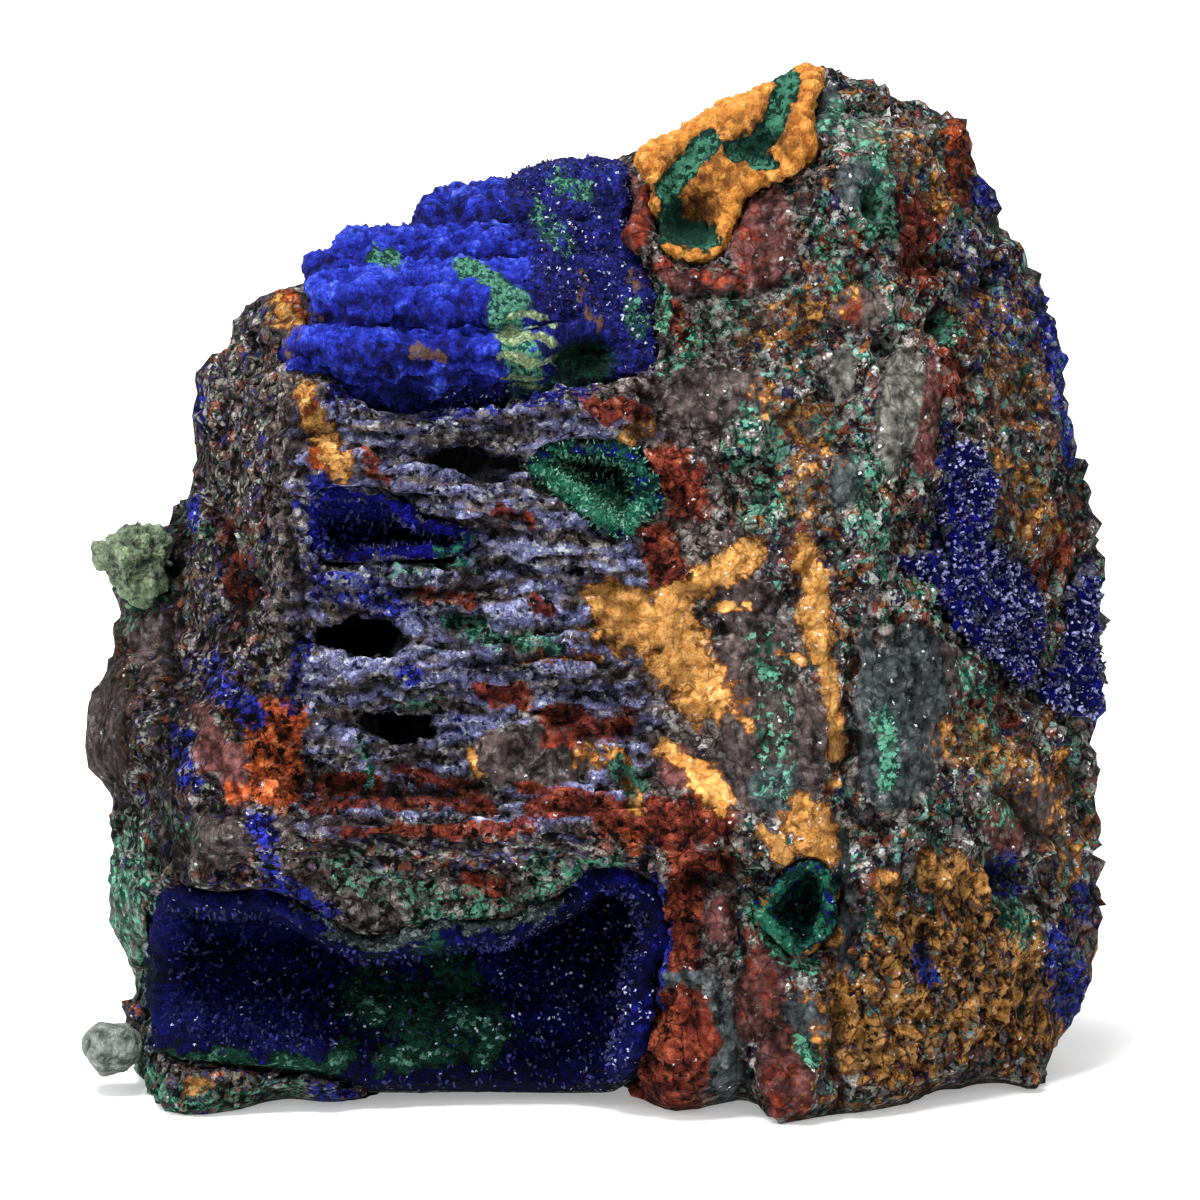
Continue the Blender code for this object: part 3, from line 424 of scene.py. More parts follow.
OCHRE = (
    (((1.8, 36.2), (4.6, 35.2), (7.2, 31)), 2.5, 1), (((5, 37), (8, 39), (10.6, 40.4)), 1.2, 1),
    (((1.2, 36.2), (-0.6, 37.8)), 0.9, 0.9), (((5, 26.6), (6, 26)), 0.9, 0.8),
    (((7.4, 25), (8.2, 23.4)), 1.2, 1), (((14.4, 40.6), (15.2, 37), (15.4, 33.2)), 1.1, 1),
    (((15.8, 33), (16.6, 30), (16.8, 26.6)), 0.7, 0.95), (((12.4, 33.4), (15, 32.8)), 0.4, 0.8),
    (((8.4, 36.8), (10.4, 36.8)), 0.35, 0.9), (((8, 30.6), (8.4, 28.6)), 0.4, 0.9),
    (((14.2, 22), (15.6, 20)), 1.7, 1), (((16.4, 18.8), (16.6, 13)), 0.3, 0.9),
    (((11.8, 15.6), (14.6, 18.4)), 0.3, 0.8), (((-8.9, 26.6), (-8.4, 25.2)), 0.4, 0.8),
    (((17, 25), (15.9, 23.8)), 0.3, 0.7), (((11.8, 21.2), (13.6, 18.6)), 0.7, 0.9),
    (((20, 7), (24.5, 12), (29, 9)), 6, 0.66), (((23.5, 18.2), (27, 17)), 1.7, 0.8),
    (((17.3, 9), (20, 4.6)), 1.6, 0.8), (((29.5, 14), (30.5, 8)), 2, 0.7),
    (((-20.6, 51.8), (-19.6, 49), (-17.6, 46.3)), 1.2, 0.75), (((-22, 57.6), (-20.8, 56)), 1, 0.7),
    (((21, 69), (24, 66)), 2.2, 0.50), (((12, 51), (15.5, 48.5), (14, 44)), 2, 0.55),
    (((11, 56), (17, 58.5)), 2.2, 0.48), (((25, 27.5), (29.5, 25)), 2.4, 0.6),
    (((28.5, 46.5), (31.5, 42)), 2, 0.55), (((30, 57), (31, 50)), 1.6, 0.42),
    (((32, 26), (33, 18)), 1.6, 0.5), (((20, 17.5), (21, 14)), 1.2, 0.75),
    (((-28.6, 3.4), (-27.4, 3.2)), 0.7, 0.8), (((1.8, 48.6), (3.6, 49.2)), 0.7, 0.7),
    (((26.6, 59), (28.4, 50)), 1.6, 0.46), (((9.5, 31.5), (10.5, 28)), 0.6, 0.5),
    (((-1, 26.4), (2.2, 26), (2.4, 22.6)), 1, 0.7), (((-5.4, 33.4), (0.4, 33.2)), 0.4, 0.7),
)
RUST = (
    (((5, 46.6), (6.2, 44.4)), 1.7, 1), (((4.4, 41.6), (5.2, 38.4)), 1.3, 0.95),
    (((1, 38), (2, 37.4)), 0.9, 0.9), (((5.4, 7.6), (4.8, 3)), 2.4, 1.3),
    (((6.2, 18), (5.6, 14.6), (6, 12.4)), 1.3, 1.1), (((1, 22), (5.4, 21.4), (8, 21.8)), 1.5, 1.1),
    (((5.6, 19.2), (9, 18.6)), 0.9, 0.9), (((-20, 23), (-14, 23.4), (-8, 23)), 0.7, 0.8),
    (((-17.6, 21), (-5, 21.2)), 0.5, 0.85), (((-19.4, 24.4), (-15.4, 24.6)), 0.6, 1),
    (((-14, 25.4), (-9, 24.2)), 0.5, 0.75), (((-4.4, 22.6), (0.6, 22.8)), 1, 0.9),
    (((-5.4, 24), (-2, 23.6)), 0.5, 0.8), (((-8, 30.8), (-5.4, 30.4)), 0.7, 1),
    (((-3.6, 29), (-1.8, 28.8)), 0.8, 1), (((0.2, 28), (2, 28.6)), 0.7, 0.9),
    (((-7.2, 43.4), (-5, 42.6)), 0.6, 0.9), (((-22.6, 28), (-22.4, 26), (-22, 24)), 1.5, 0.8),
    (((-12.2, 37.5), (-9, 37.2)), 0.6, 0.7), (((-4.6, 37), (-3.2, 36.6)), 0.6, 0.8),
    (((-0.4, 50.7), (3.2, 50.3)), 0.9, 0.8), (((-9, 17.6), (-6.6, 16.8)), 0.8, 0.75),
    (((4.4, 60.4), (10, 59.6)), 0.9, 0.5), (((3.4, 66), (2.9, 62)), 0.7, 0.55),
    (((22.4, 64.4), (22.6, 60.2)), 1.4, 0.8), (((25.2, 70), (25.4, 65.6)), 1, 0.75),
    (((24.2, 56), (25, 52)), 1.2, 0.7), (((5.4, 57.4), (6.4, 55.6)), 0.9, 0.7),
    (((10.4, 64), (11, 60.4)), 1.4, 0.36), (((31, 38.6), (33, 41.6)), 1.2, 0.6),
    (((-26, 42.6), (-25, 36)), 1, 0.6), (((11.2, 12.6), (11.4, 8.8)), 1.6, 0.42),
    (((12.6, 4.4), (13.6, 1.4)), 1.7, 0.45), (((25.8, 30), (29, 29)), 1, 0.6),
    (((16, 62.4), (18, 57)), 1.2, 0.45), (((-4.4, 14.4), (-1.4, 20.8)), 0.8, 0.4),
    (((31, 61), (33, 52)), 0.8, 0.35), (((0, 33), (-4, 33.6)), 0.8, 0.4),
    (((-3, 27.8), (2, 28.6)), 1.2, 0.6), (((-16.4, 47.6), (-15.2, 45.8)), 0.6, 0.7),
)
BLUE = (
    (((31.4, 58.4), (32.6, 52), (33.4, 47.4)), 1.1, 0.80), (((27.4, 66.4), (27.2, 65.2)), 1, 1),
    (((35.6, 37), (35.8, 28.6)), 1.1, 0.95), (((34.4, 17), (34, 8)), 0.9, 0.8),
    (((-18, 51.6), (-10, 50.9), (-1, 52)), 1, 0.6), (((-19.4, 45.6), (-18.4, 44.8)), 0.9, 0.8),
    (((-28.2, 43.8), (-28.6, 42.8)), 0.8, 0.9), (((-27.2, 32.2), (-24.4, 29.4)), 1.3, 0.75),
    (((-29.4, 28), (-28.4, 24.6)), 0.9, 0.7), (((-27.8, 53.4), (-28, 50)), 0.7, 0.7),
    (((-19.6, 2.8), (-17.8, 2.4)), 0.9, 0.9), (((-23, 17.6), (-19, 15.4)), 0.9, 0.75),
    (((29, 18.6), (28.6, 17.4)), 1.1, 0.9), (((-24, 21.8), (-22.8, 18)), 1, 0.7),
    (((-21, 34), (-21.4, 30)), 0.9, 0.55), (((3.9, 17.8), (5, 14), (3.9, 9)), 0.4, 0.9),
    (((26, 62), (29, 56)), 2.6, 0.40), (((32.4, 13.6), (33, 8.4)), 1.3, 0.8),
    (((22.6, 12.4), (23.4, 10.6)), 0.7, 0.8), (((-3.6, 53), (3.4, 53.4)), 0.8, 0.4),
    (((24.6, 49.2), (24, 40.5)), 0.8, 0.6), (((-20, 38.8), (-14, 37)), 1.6, 0.55),
    (((-13.4, 32.4), (-12.6, 31.8)), 0.7, 0.8), (((-9.6, 27.8), (-10.4, 31)), 0.7, 0.4),
    (((-20, 44), (-16, 41)), 1.5, 0.6),
)
GREEN = (
    (((4.4, 58.6), (4, 56.8)), 1, 0.7), (((19.9, 29), (20.2, 24.6)), 0.7, 0.8),
    (((19.5, 65.4), (20, 63.4)), 1.4, 0.8), (((-33, 20), (-32, 12)), 2.6, 0.52),
    (((14.2, 6), (15, 5.2)), 0.8, 0.8), (((-18, 18.6), (-12, 16.2), (-8, 15.8)), 1.6, 0.46),
    (((24, 56.8), (24.2, 55.8)), 1, 0.85), (((1.8, 25.4), (2.6, 24.4)), 1, 0.6),
    (((5, 54), (8, 56.4), (9.4, 57.6)), 1.5, 0.46), (((15.6, 63), (17, 59.6)), 1.2, 0.5),
    (((11, 49), (12, 44)), 2.4, 0.46), (((19, 47), (19.6, 41)), 1.4, 0.5),
    (((12, 34), (12.6, 24)), 1.8, 0.40), (((-30.4, 46), (-28.4, 42.4)), 1.4, 0.5),
    (((-33.6, 36.5), (-31.6, 38.6)), 1.6, 0.7), (((10.8, 15.6), (12.4, 12.6), (15.4, 11.6)), 0.7, 0.7),
    (((-33, 5), (-31, 3)), 1.4, 0.6), (((17, 71), (20, 68)), 1.8, 0.5), (((26, 33), (28, 22)), 1.6, 0.4),
    (((-14, 29.8), (-11, 29.8)), 0.7, 0.45), (((-10, 35.6), (-7.4, 34.6)), 0.8, 0.7),
    (((-6, 34.6), (-3, 34.2)), 0.7, 0.6), (((-4, 18.6), (0.4, 16.4)), 1.4, 0.55),
    (((-14, 39.2), (-8.6, 39.8)), 0.6, 0.5), (((-16.4, 27), (-16, 24.6)), 0.5, 0.6),
    (((-31, 2), (-26, 1.8), (-21, 3.2)), 1.4, 0.5), (((-30.6, 23.6), (-29, 21)), 1, 0.4),
    (((-13, 14.6), (-8, 15.6), (-4, 16.4)), 0.7, 0.6), (((-4, 17.6), (1, 18.8)), 1, 0.6),
    (((22.4, 38.4), (24.6, 35)), 0.8, 0.45), (((9, 47.6), (10.6, 46.4)), 0.9, 0.6),
    (((28.6, 17), (29.6, 14)), 1.2, 0.65), (((11.6, 13.6), (13, 12.2)), 0.5, 0.9),
)


def patches(streaks, base, size, seed):
    """A mineral's cover: as drawn where the rock is seen, and in loose patches on its other sides."""
    in_front = stain(u + 0.5 * big_lumps, w + 0.5 * fine_lumps, streaks)
    return in_front * seen + hidden * (base + 0.5 * lumps(own, size, seed))


dust = beds * (0.60 + 0.25 * bed_lumps + 0.16 * bedding)
dust *= 0.35 + 0.65 * ease(20.0, 22.5, w)
dust *= 1 - 0.9 * np.clip(1.4 * smooth, 0.0, 1.0)
brown = (1 - ease(-24.0, -21.0, u)) * (0.55 + 0.3 * ease(24.0, 34.0, w))
brown += 0.8 * spot(u, w, (-34.5, 29.0), (3.5, 6.5))
mixed = (1 - ease(-23.5, -21.0, u)) * (1 - spot(u, w, (-34.6, 28.6), (2.6, 5.5)) ** 0.3)
mixed = np.maximum(mixed, beds * (1 - ease(20.5, 22.5, w)))
# dark: painted shade in the grooves, pits and slits, in the lows between beds and along listed recesses.
dark = 0.85 * groove + pitted + 0.4 * np.clip(-bed_lumps, 0.0, 1.0) * beds
for line, width, strength in (
    (((-30, 26), (-29.6, 34), (-29.6, 41)), 1, 0.85), (((-26.4, 43), (-25.2, 36)), 0.9, 0.72),
    (((-30, 24.6), (-29.4, 19.4)), 1.5, 0.8), (((-33.6, 33), (-33.4, 24.6)), 1.3, 0.5),
    (((11.2, 12.4), (13, 2)), 2.2, 0.3), (((20.6, 34), (21.6, 24)), 2.6, 0.2),
):
    dark = np.maximum(dark, strength * on_line(u + 0.5 * big_lumps, w, line, width))
in_slit = spot(u + 0.3 * fine_lumps, w + 0.3 * fine_lumps, (-16.4, 34.5), (3.9, 1.6))
in_slit = np.maximum(in_slit, spot(u, w + 0.3 * fine_lumps, (-14.0, 28.3), (3.3, 1.2), -4))
in_slit = np.maximum(in_slit, spot(u, w + 0.3 * fine_lumps, (-8.2, 46.9), (3.9, 1.1), -6))
relief -= 0.9 * ease(0.1, 0.6, in_slit)
dark = np.maximum(dark, ease(0.1, 0.4, in_slit)) * seen
masks = {
    "ochre": patches(OCHRE, 0.34, 11.0, 11),
    "rust": patches(RUST, 0.28, 9.0, 12),
    "blue": patches(BLUE, 0.16, 8.0, 13),
    "green": patches(GREEN, 0.22, 9.0, 14),
    "dust": dust * seen + 0.18 * hidden,
    "brown": brown * seen + 0.5 * hidden,
    "stone": stone * seen,
    "slate": slate * seen,
    "mauve": mauve * seen,
    "quartz": quartz * seen,
    "orange": stain(u + 0.4 * big_lumps, w + 0.4 * fine_lumps, (
        (((-22.6, 28.4), (-22.4, 24.6)), 1.9, 1.2), (((-21.4, 58), (-20.6, 56)), 0.8, 1),
        (((1.6, 21), (2.4, 19.8)), 0.7, 1), (((-20.4, 51.4), (-19, 47)), 1, 0.7),
        (((-25.4, 23.8), (-23, 23.2)), 0.7, 0.9), (((24.8, 70.6), (25.2, 67.4)), 0.8, 0.7),
    )) * seen,
    "dark": dark,
    "crumbly": crumbly * (1 - smooth) * (1 - 0.4 * hidden),
    "mixed": mixed * seen,
    "dull": 1.4 * spot(u, w, (24.0, 9.0), (10.0, 11.0)) ** 0.6 * seen,
    "smooth": smooth,
    # crest: the fine relief's height; the finish paints light on the highs and shade in the lows with it.
    "crest": 0.5 + 0.75 * fine_relief,
}

material, wire, place = new_finish("iron_stained_rock")
coarse, middle, fine = grain(place, 3.5, 1.0), grain(place, 1.1, 2.0, 4.0), grain(place, 0.30, 3.0, 2.0)
streaky = grain(place.stretched((0.3, 0.3, 1.4)), 1.1, 4.0, 4.0)
number, edge = granules(place, 0.85, 4.0)
tiny, tiny_edge = granules(place, 0.34, 5.0)
speck = granules(place, 0.17, 6.0)[0]
flake = grain(place, 0.75, 31.0, 4.0).ramp((
    (0, 0.10), (0.32, 0.34), (0.45, 0.50), (0.57, 0.68), (0.70, 0.92),
), "CONSTANT")
rock = (middle * 0.35 + coarse * 0.2 + flake * 0.45).ramp((
    (0.12, 16, 13, 16), (0.38, 58, 49, 48), (0.60, 96, 86, 84), (0.90, 152, 144, 138),
))
rock = rock.under(paint(62, 42, 32), ragged(mask(wire, "brown"), coarse, 1.6) * 0.8)
mixed_grain = granules(place, 0.62, 20.0)[0]
mix = (mixed_grain * 0.8 + coarse * 0.2).ramp((
    (0.0, 24, 20, 24), (0.22, 60, 44, 42), (0.34, 44, 44, 92), (0.42, 92, 66, 50), (0.52, 84, 94, 84),
    (0.60, 66, 54, 70), (0.68, 34, 50, 42), (0.75, 128, 122, 114), (0.82, 124, 62, 40), (0.88, 38, 40, 120),
), "CONSTANT")
rock = rock.under(mix, ragged(mask(wire, "mixed") * 0.9, middle, 4.0) * 0.8)
speckle = (number * 0.85 + coarse * 0.15).ramp((
    (0.0, 34, 28, 32), (0.20, 132, 84, 44), (0.29, 30, 78, 66), (0.37, 112, 104, 102), (0.50, 72, 46, 42),
    (0.59, 64, 60, 66), (0.68, 120, 62, 46), (0.75, 100, 152, 138), (0.80, 22, 20, 66),
    (0.86, 172, 172, 168),
), "CONSTANT")
rock = rock.under(speckle, ragged(mask(wire, "crumbly") * 0.85, middle, 5.0) * 0.85)
flow = grain(place.stretched((1.0, 1.0, 0.35)), 1.6, 30.0, 4.0) * 0.65 + flake * 0.35
for cover, low, high in (
    ("stone", (20, 15, 18), (82, 71, 69)), ("slate", (12, 15, 19), (74, 82, 84)),
    ("mauve", (30, 14, 15), (104, 62, 58)), ("quartz", (32, 34, 33), (114, 113, 106)),
):
    shown = ragged(mask(wire, cover), middle * 0.5 + flake * 0.3, 6.0) * 0.94
    rock = rock.under(flow.ramp(((0.22, *low), (0.80, *high))), shown)
dusted = ragged(mask(wire, "dust"), streaky * 0.8, 3.5)
# The blue dust is its own colour, painted lighter on the crests as painted light.
dust_colour_and_crest_light = (fine * 0.35 + tiny * 0.35 + mask(wire, "crest") * 0.4).ramp((
    (0.18, 15, 14, 36), (0.42, 60, 60, 92), (0.64, 96, 100, 142), (0.95, 158, 164, 196),
))
rock = rock.under(dust_colour_and_crest_light, dusted * 0.85 * (1.0 - mask(wire, "smooth") * 0.9))
rust_grain = grain(place, 1.2, 8.0, 4.0)
rusty = ragged(mask(wire, "rust") * 1.25, rust_grain, 5.0)
red = (middle * 0.35 + coarse * 0.35 + flake * 0.3).ramp((
    (0.25, 44, 14, 10), (0.5, 104, 40, 26), (0.8, 150, 72, 44),
))
rock = rock.under(red, rusty * 0.95)
hot = (middle * 0.4 + fine * 0.3 + flake * 0.3).ramp((
    (0.25, 78, 32, 16), (0.55, 150, 66, 32), (0.85, 196, 116, 66),
))
rock = rock.under(hot, ragged(mask(wire, "orange") * 1.2, rust_grain, 5.0))
ochre_grain = grain(place, 1.0, 10.0, 4.0)
rock = rock.under(paint(104, 62, 26), ragged(mask(wire, "ochre") * 1.1, ochre_grain, 8.0))
ochre_light = (ochre_grain * 0.35 + fine * 0.3 + flake * 0.35) + (1.0 - mask(wire, "ochre")) * 0.25
pale_ochre = (fine * 0.5 + flake * 0.5).ramp(((0.2, 190, 124, 54), (0.8, 238, 184, 110)))
pale_share = (1.25 - ochre_light * 1.1).clipped() * ragged(mask(wire, "ochre") - 0.1, ochre_grain, 6.0)
rock = rock.under(pale_ochre, pale_share)
rock = rock.under(paint(20, 62, 50), ragged(mask(wire, "green"), grain(place, 0.9, 12.0)))
rock = rock.under(paint(92, 156, 130), ragged(mask(wire, "green") - 0.15, tiny, 6.0) * 0.85)
blue_grain = grain(place, 0.8, 14.0)
rock = rock.under(paint(10, 10, 66), ragged(mask(wire, "blue"), blue_grain))
rock = rock.under(paint(46, 56, 170), ragged(mask(wire, "blue") - 0.2, tiny, 5.0) * 0.8)
bare = (1.0 - mask(wire, "rust")) * (1.0 - mask(wire, "ochre")) * (1.0 - mask(wire, "smooth") * 0.75)
teal = ragged(mask(wire, "crumbly") * 0.27, grain(place, 0.55, 15.0), 12.0) * bare
rock = rock.under(paint(92, 150, 134), teal)
pale = ragged(tiny + coarse * 0.3, 1.0, 12.0) * bare
rock = rock.under(paint(168, 170, 164), pale * 0.6)
# Painted glints: a few tiny near-white grains on the crests stand in for sparkles of light.
glint = ragged(mask(wire, "crumbly") * 0.012 + 0.004, speck, 400.0) * ragged(mask(wire, "crest"), 0.35, 4.0)
rock = rock.under(paint(226, 230, 232), glint)
pore_grain = grain(place, 0.7, 16.0, 4.0)
calm = (1.0 - mask(wire, "smooth") * 0.6) * (1.0 - mask(wire, "ochre") * (1.0 - mask(wire, "dull")) * 0.75)
# pore_shade: painted shade in small pits, with more of it in the lows of the relief.
pore_shade = ragged(0.50 - mask(wire, "crest") * 0.22 + mask(wire, "mixed") * 0.07, pore_grain, 7.0) * calm
cracks = seams(place.stretched((1.0, 1.0, 0.8)), 1.7, 7.0) * 0.9 * (calm * 0.5 + 0.5)
# Painted shade at the edges of the grains, together with the flakes' own tone.
grain_shade_and_flake_tone = (1.14 - tiny_edge * 0.35 - edge * 0.15) * (0.62 + flake * 0.72)
# Painted shade and light: darker in recesses, lows, pits and between grains, lighter on crests; the real
# cracks and the duller ochre at the lower right darken it too.
shade = (1.0 - mask(wire, "dark") * 0.97) * (0.14 + mask(wire, "crest") * 1.5) * grain_shade_and_flake_tone
shade = shade * (1.0 - pore_shade * 0.96) * (1.0 - cracks * (1.0 - mask(wire, "dust") * 0.6))
shade = shade * (1.0 - mask(wire, "dull") * 0.2) + mask(wire, "ochre") * (1.0 - calm) * 0.22
height = (middle * 0.38 + fine * 0.30) * (1.0 - mask(wire, "smooth") * 0.7)
close_finish(material, wire, rock.lit(shade), 0.85 - glint * 0.6 - fine * 0.12, height, specular=0.05)
dress("iron_stained_rock", rock_mesh, places, normals, relief, masks, material)


# The velvet ledges: blue azurite in tiny upright fibres that grew on steps of the rock, like stairs.
# Crests get painted light, creases and the bottom row painted shade; the dark navy right end has painted
# glints and green.
CRESTS = (
    ((-13, 65.2), (-8, 65.9), (-4, 66.6), (4, 67)), ((-19, 62.6), (-14, 62.9), (-6, 63.3), (4, 63.8)),
    ((-22, 59.6), (-14, 60.5), (-8, 60.7), (-2, 61.2), (4, 60.2)),
    ((-24, 56.1), (-12, 56.3), (-7, 56.2), (4, 57.2)),
    ((-24, 53.7), (-17, 54), (-12, 53.9), (-6, 53.7), (4, 54.6)), ((-24, 50.6), (4, 51)),
)
ledge_mesh, places, normals = net_of("azurite_terraces", 0.27)
u, w, d = drawn(places)
own = places / MM
sway = lumps(np.stack([u / 2.4, w / 4.0, d / 6.0], 1), 1.0, 20)
knobs = lumps(own, 1.7, 23)
swayed_w = w + 0.55 * sway + 0.35 * knobs
fall = np.zeros(len(u))
for crest, below in zip(CRESTS, CRESTS[1:]):
    top = np.interp(u, *np.array(crest).T)
    foot = np.interp(u, *np.array(below).T)
    inside = (swayed_w <= top) & (swayed_w > foot)
    fall[inside] = ((top - swayed_w) / (top - foot))[inside]
balls = chips(own * np.array((1.0, 1.0, 0.75)), 0.95, 21)
fibres = lumps(own * np.array((1.0, 1.0, 0.45)), 0.33, 22, 2)
facing = ease(0.3, -0.2, normals[:, 1])
# darker: the right end's own dark navy, painted shade on the recessed bottom row, and a darker tone towards
# the top and in a band at the middle left.
darker = ease(-7.0, -2.5, u + 0.8 * sway) + 0.75 * (1 - ease(51.8, 53.8, w + 0.5 * knobs))
darker += 0.5 * ease(61.0, 63.5, w)
darker += 0.5 * spot(u, w, (-14.0, 54.0), (7.0, 1.4)) ** 0.5
green_low = np.clip(2.0 * spot(u, w, (-2.6, 54.4), (4.6, 3.0)) ** 0.5, 0.0, 1.0)
ripples = lumps(np.stack([u / 2.2, w, d / 2.0], 1), 0.6, 24)
relief = 0.30 + 0.42 * facing * (0.8 - 1.5 * fall**0.8) + 0.20 * balls + 0.12 * fibres + 0.25 * sway
relief += 0.35 * knobs
relief += 0.30 * ripples
stair = 0.5 + 0.6 * np.sin(2 * math.pi * (w + 0.25 * sway) / 1.0)
masks = {
    # crest: high on the step crests and low in the creases; the finish paints light and shade with it.
    "crest": 0.80 - 0.75 * fall**1.1 + 0.20 * balls + 0.25 * fibres + 0.30 * knobs + 0.45 * ripples,
    "darker": darker,
    "sparkle": darker * facing * ease(-8.0, -4.0, u + 6.0 * (1 - ease(51.8, 53.6, w))) * (1 - green_low),
    "green": stain(u, w, (
        (((-15.2, 60.8), (-14.4, 60.6)), 0.9, 0.85),
        (((-9.4, 60.2), (-7.6, 59.4), (-5.4, 57.8)), 0.7, 0.85), (((-2.4, 66), (-1.2, 65.6)), 1, 0.6),
        (((-6.6, 57.4), (-5.6, 54.8), (-5, 52.6)), 1.2, 0.8), (((-3.6, 52.2), (0.6, 52)), 0.6, 0.8),
        (((-4, 64), (-2.6, 61.6)), 1, 0.5), (((2.4, 57.6), (2.8, 56)), 0.8, 0.6),
    )),
    "ochre": stain(u, w, (
        (((-21.6, 54.8), (-19.8, 57.4)), 0.8, 0.5), (((2.6, 60), (3.2, 56)), 0.8, 0.5),
        (((-1.4, 59.4), (-0.4, 57)), 1, 0.55), (((-13, 54.6), (-11, 54.2)), 0.5, 0.6),
    )),
    "pocket": 1.6 * spot(u, w, (-0.9, 53.9), (2.6, 2.0)) ** 0.5,
    "steps": 1.5 * spot(u, w, (-5.0, 54.8), (2.4, 3.0)) ** 0.5 * stair,
}
material, wire, place = new_finish("azurite_velvet")
middle = grain(place.stretched((1.0, 1.0, 0.6)), 0.9, 1.0)
fine = grain(place.stretched((1.0, 1.0, 0.5)), 0.2, 2.0, 2.0)
tiny, tiny_edge = granules(place, 0.30, 3.0)
speck = granules(place, 0.18, 4.0)[0]
# The velvet is painted lighter on its crests and darker down each crease: painted light and shade.
velvet = (mask(wire, "crest") * 0.5 + middle * 0.2 + fine * 0.15 + tiny * 0.2).ramp((
    (0.14, 2, 3, 26), (0.36, 7, 11, 80), (0.58, 24, 36, 142), (0.76, 44, 61, 184), (0.98, 96, 116, 226),
))
night = (middle * 0.35 + fine * 0.25 + tiny * 0.4).ramp((
    (0.15, 3, 3, 20), (0.5, 10, 12, 66), (0.72, 26, 32, 120), (0.95, 72, 76, 150),
))
velvet = velvet.under(night, ragged(mask(wire, "darker"), middle * 0.7, 3.0) * 0.9)
velvet = velvet.under(paint(96, 72, 54), ragged(mask(wire, "ochre"), middle, 5.0) * 0.9)
velvet = velvet.under(paint(22, 58, 54), ragged(mask(wire, "green"), middle * 0.8, 6.0))
velvet = velvet.under(paint(84, 142, 116), ragged(mask(wire, "green") - 0.15, tiny, 5.0) * 0.8)
velvet = velvet.under(tiny.ramp(((0.3, 104, 112, 84), (0.7, 150, 176, 132))),
                      ragged(mask(wire, "steps"), middle * 0.8, 4.0) * 0.9)
pocket_green = (middle * 0.5 + tiny * 0.5).ramp(((0.3, 2, 12, 10), (0.9, 14, 58, 46)))
velvet = velvet.under(pocket_green, mask(wire, "pocket"))
# Painted glints: a few tiny pale grains in the dark right end stand in for sparkles of light.
glint = ragged(mask(wire, "sparkle") * 0.018, speck, 300.0)
velvet = velvet.under(paint(206, 212, 240), glint)
height = middle * 0.14 + fine * 0.10 - tiny_edge * 0.14
# The colour is darkened at the edges of the grains: painted shade between them.
close_finish(material, wire, velvet.lit(1.2 - tiny_edge * 0.8), 0.88 - glint * 0.6, height, specular=0.12)
ledges = dress("azurite_terraces", ledge_mesh, places, normals, relief, masks, material)


# The crusts: dark blue azurite crystals in the low cave and the slit, on the vein and the right edge, and
# green malachite in the other hollows. Each grew on the rock, and a hollow's rim is stained as the rock is.
# Their colour gets painted shade deeper in the hollows, along listed streaks and between grains, painted
# light on raised grains, and painted glints.
def rim_of(u, w, cell=0.36):
    """Distance in millimetres from the edge of a piece as it is drawn."""
    across, up = np.floor(u / cell).astype(int), np.floor(w / cell).astype(int)
    across, up = across - across.min() + 1, up - up.min() + 1
    filled = np.zeros((across.max() + 2, up.max() + 2), bool)
    filled[across, up] = True
    inner = filled[1:-1, 1:-1] & filled[:-2, 1:-1] & filled[2:, 1:-1] & filled[1:-1, :-2] & filled[1:-1, 2:]
    edge = filled.copy()
    edge[1:-1, 1:-1] &= ~inner
    rows, columns = np.nonzero(edge)
    return np.array([np.hypot(rows - a, columns - b).min() for a, b in zip(across, up)]) * cell


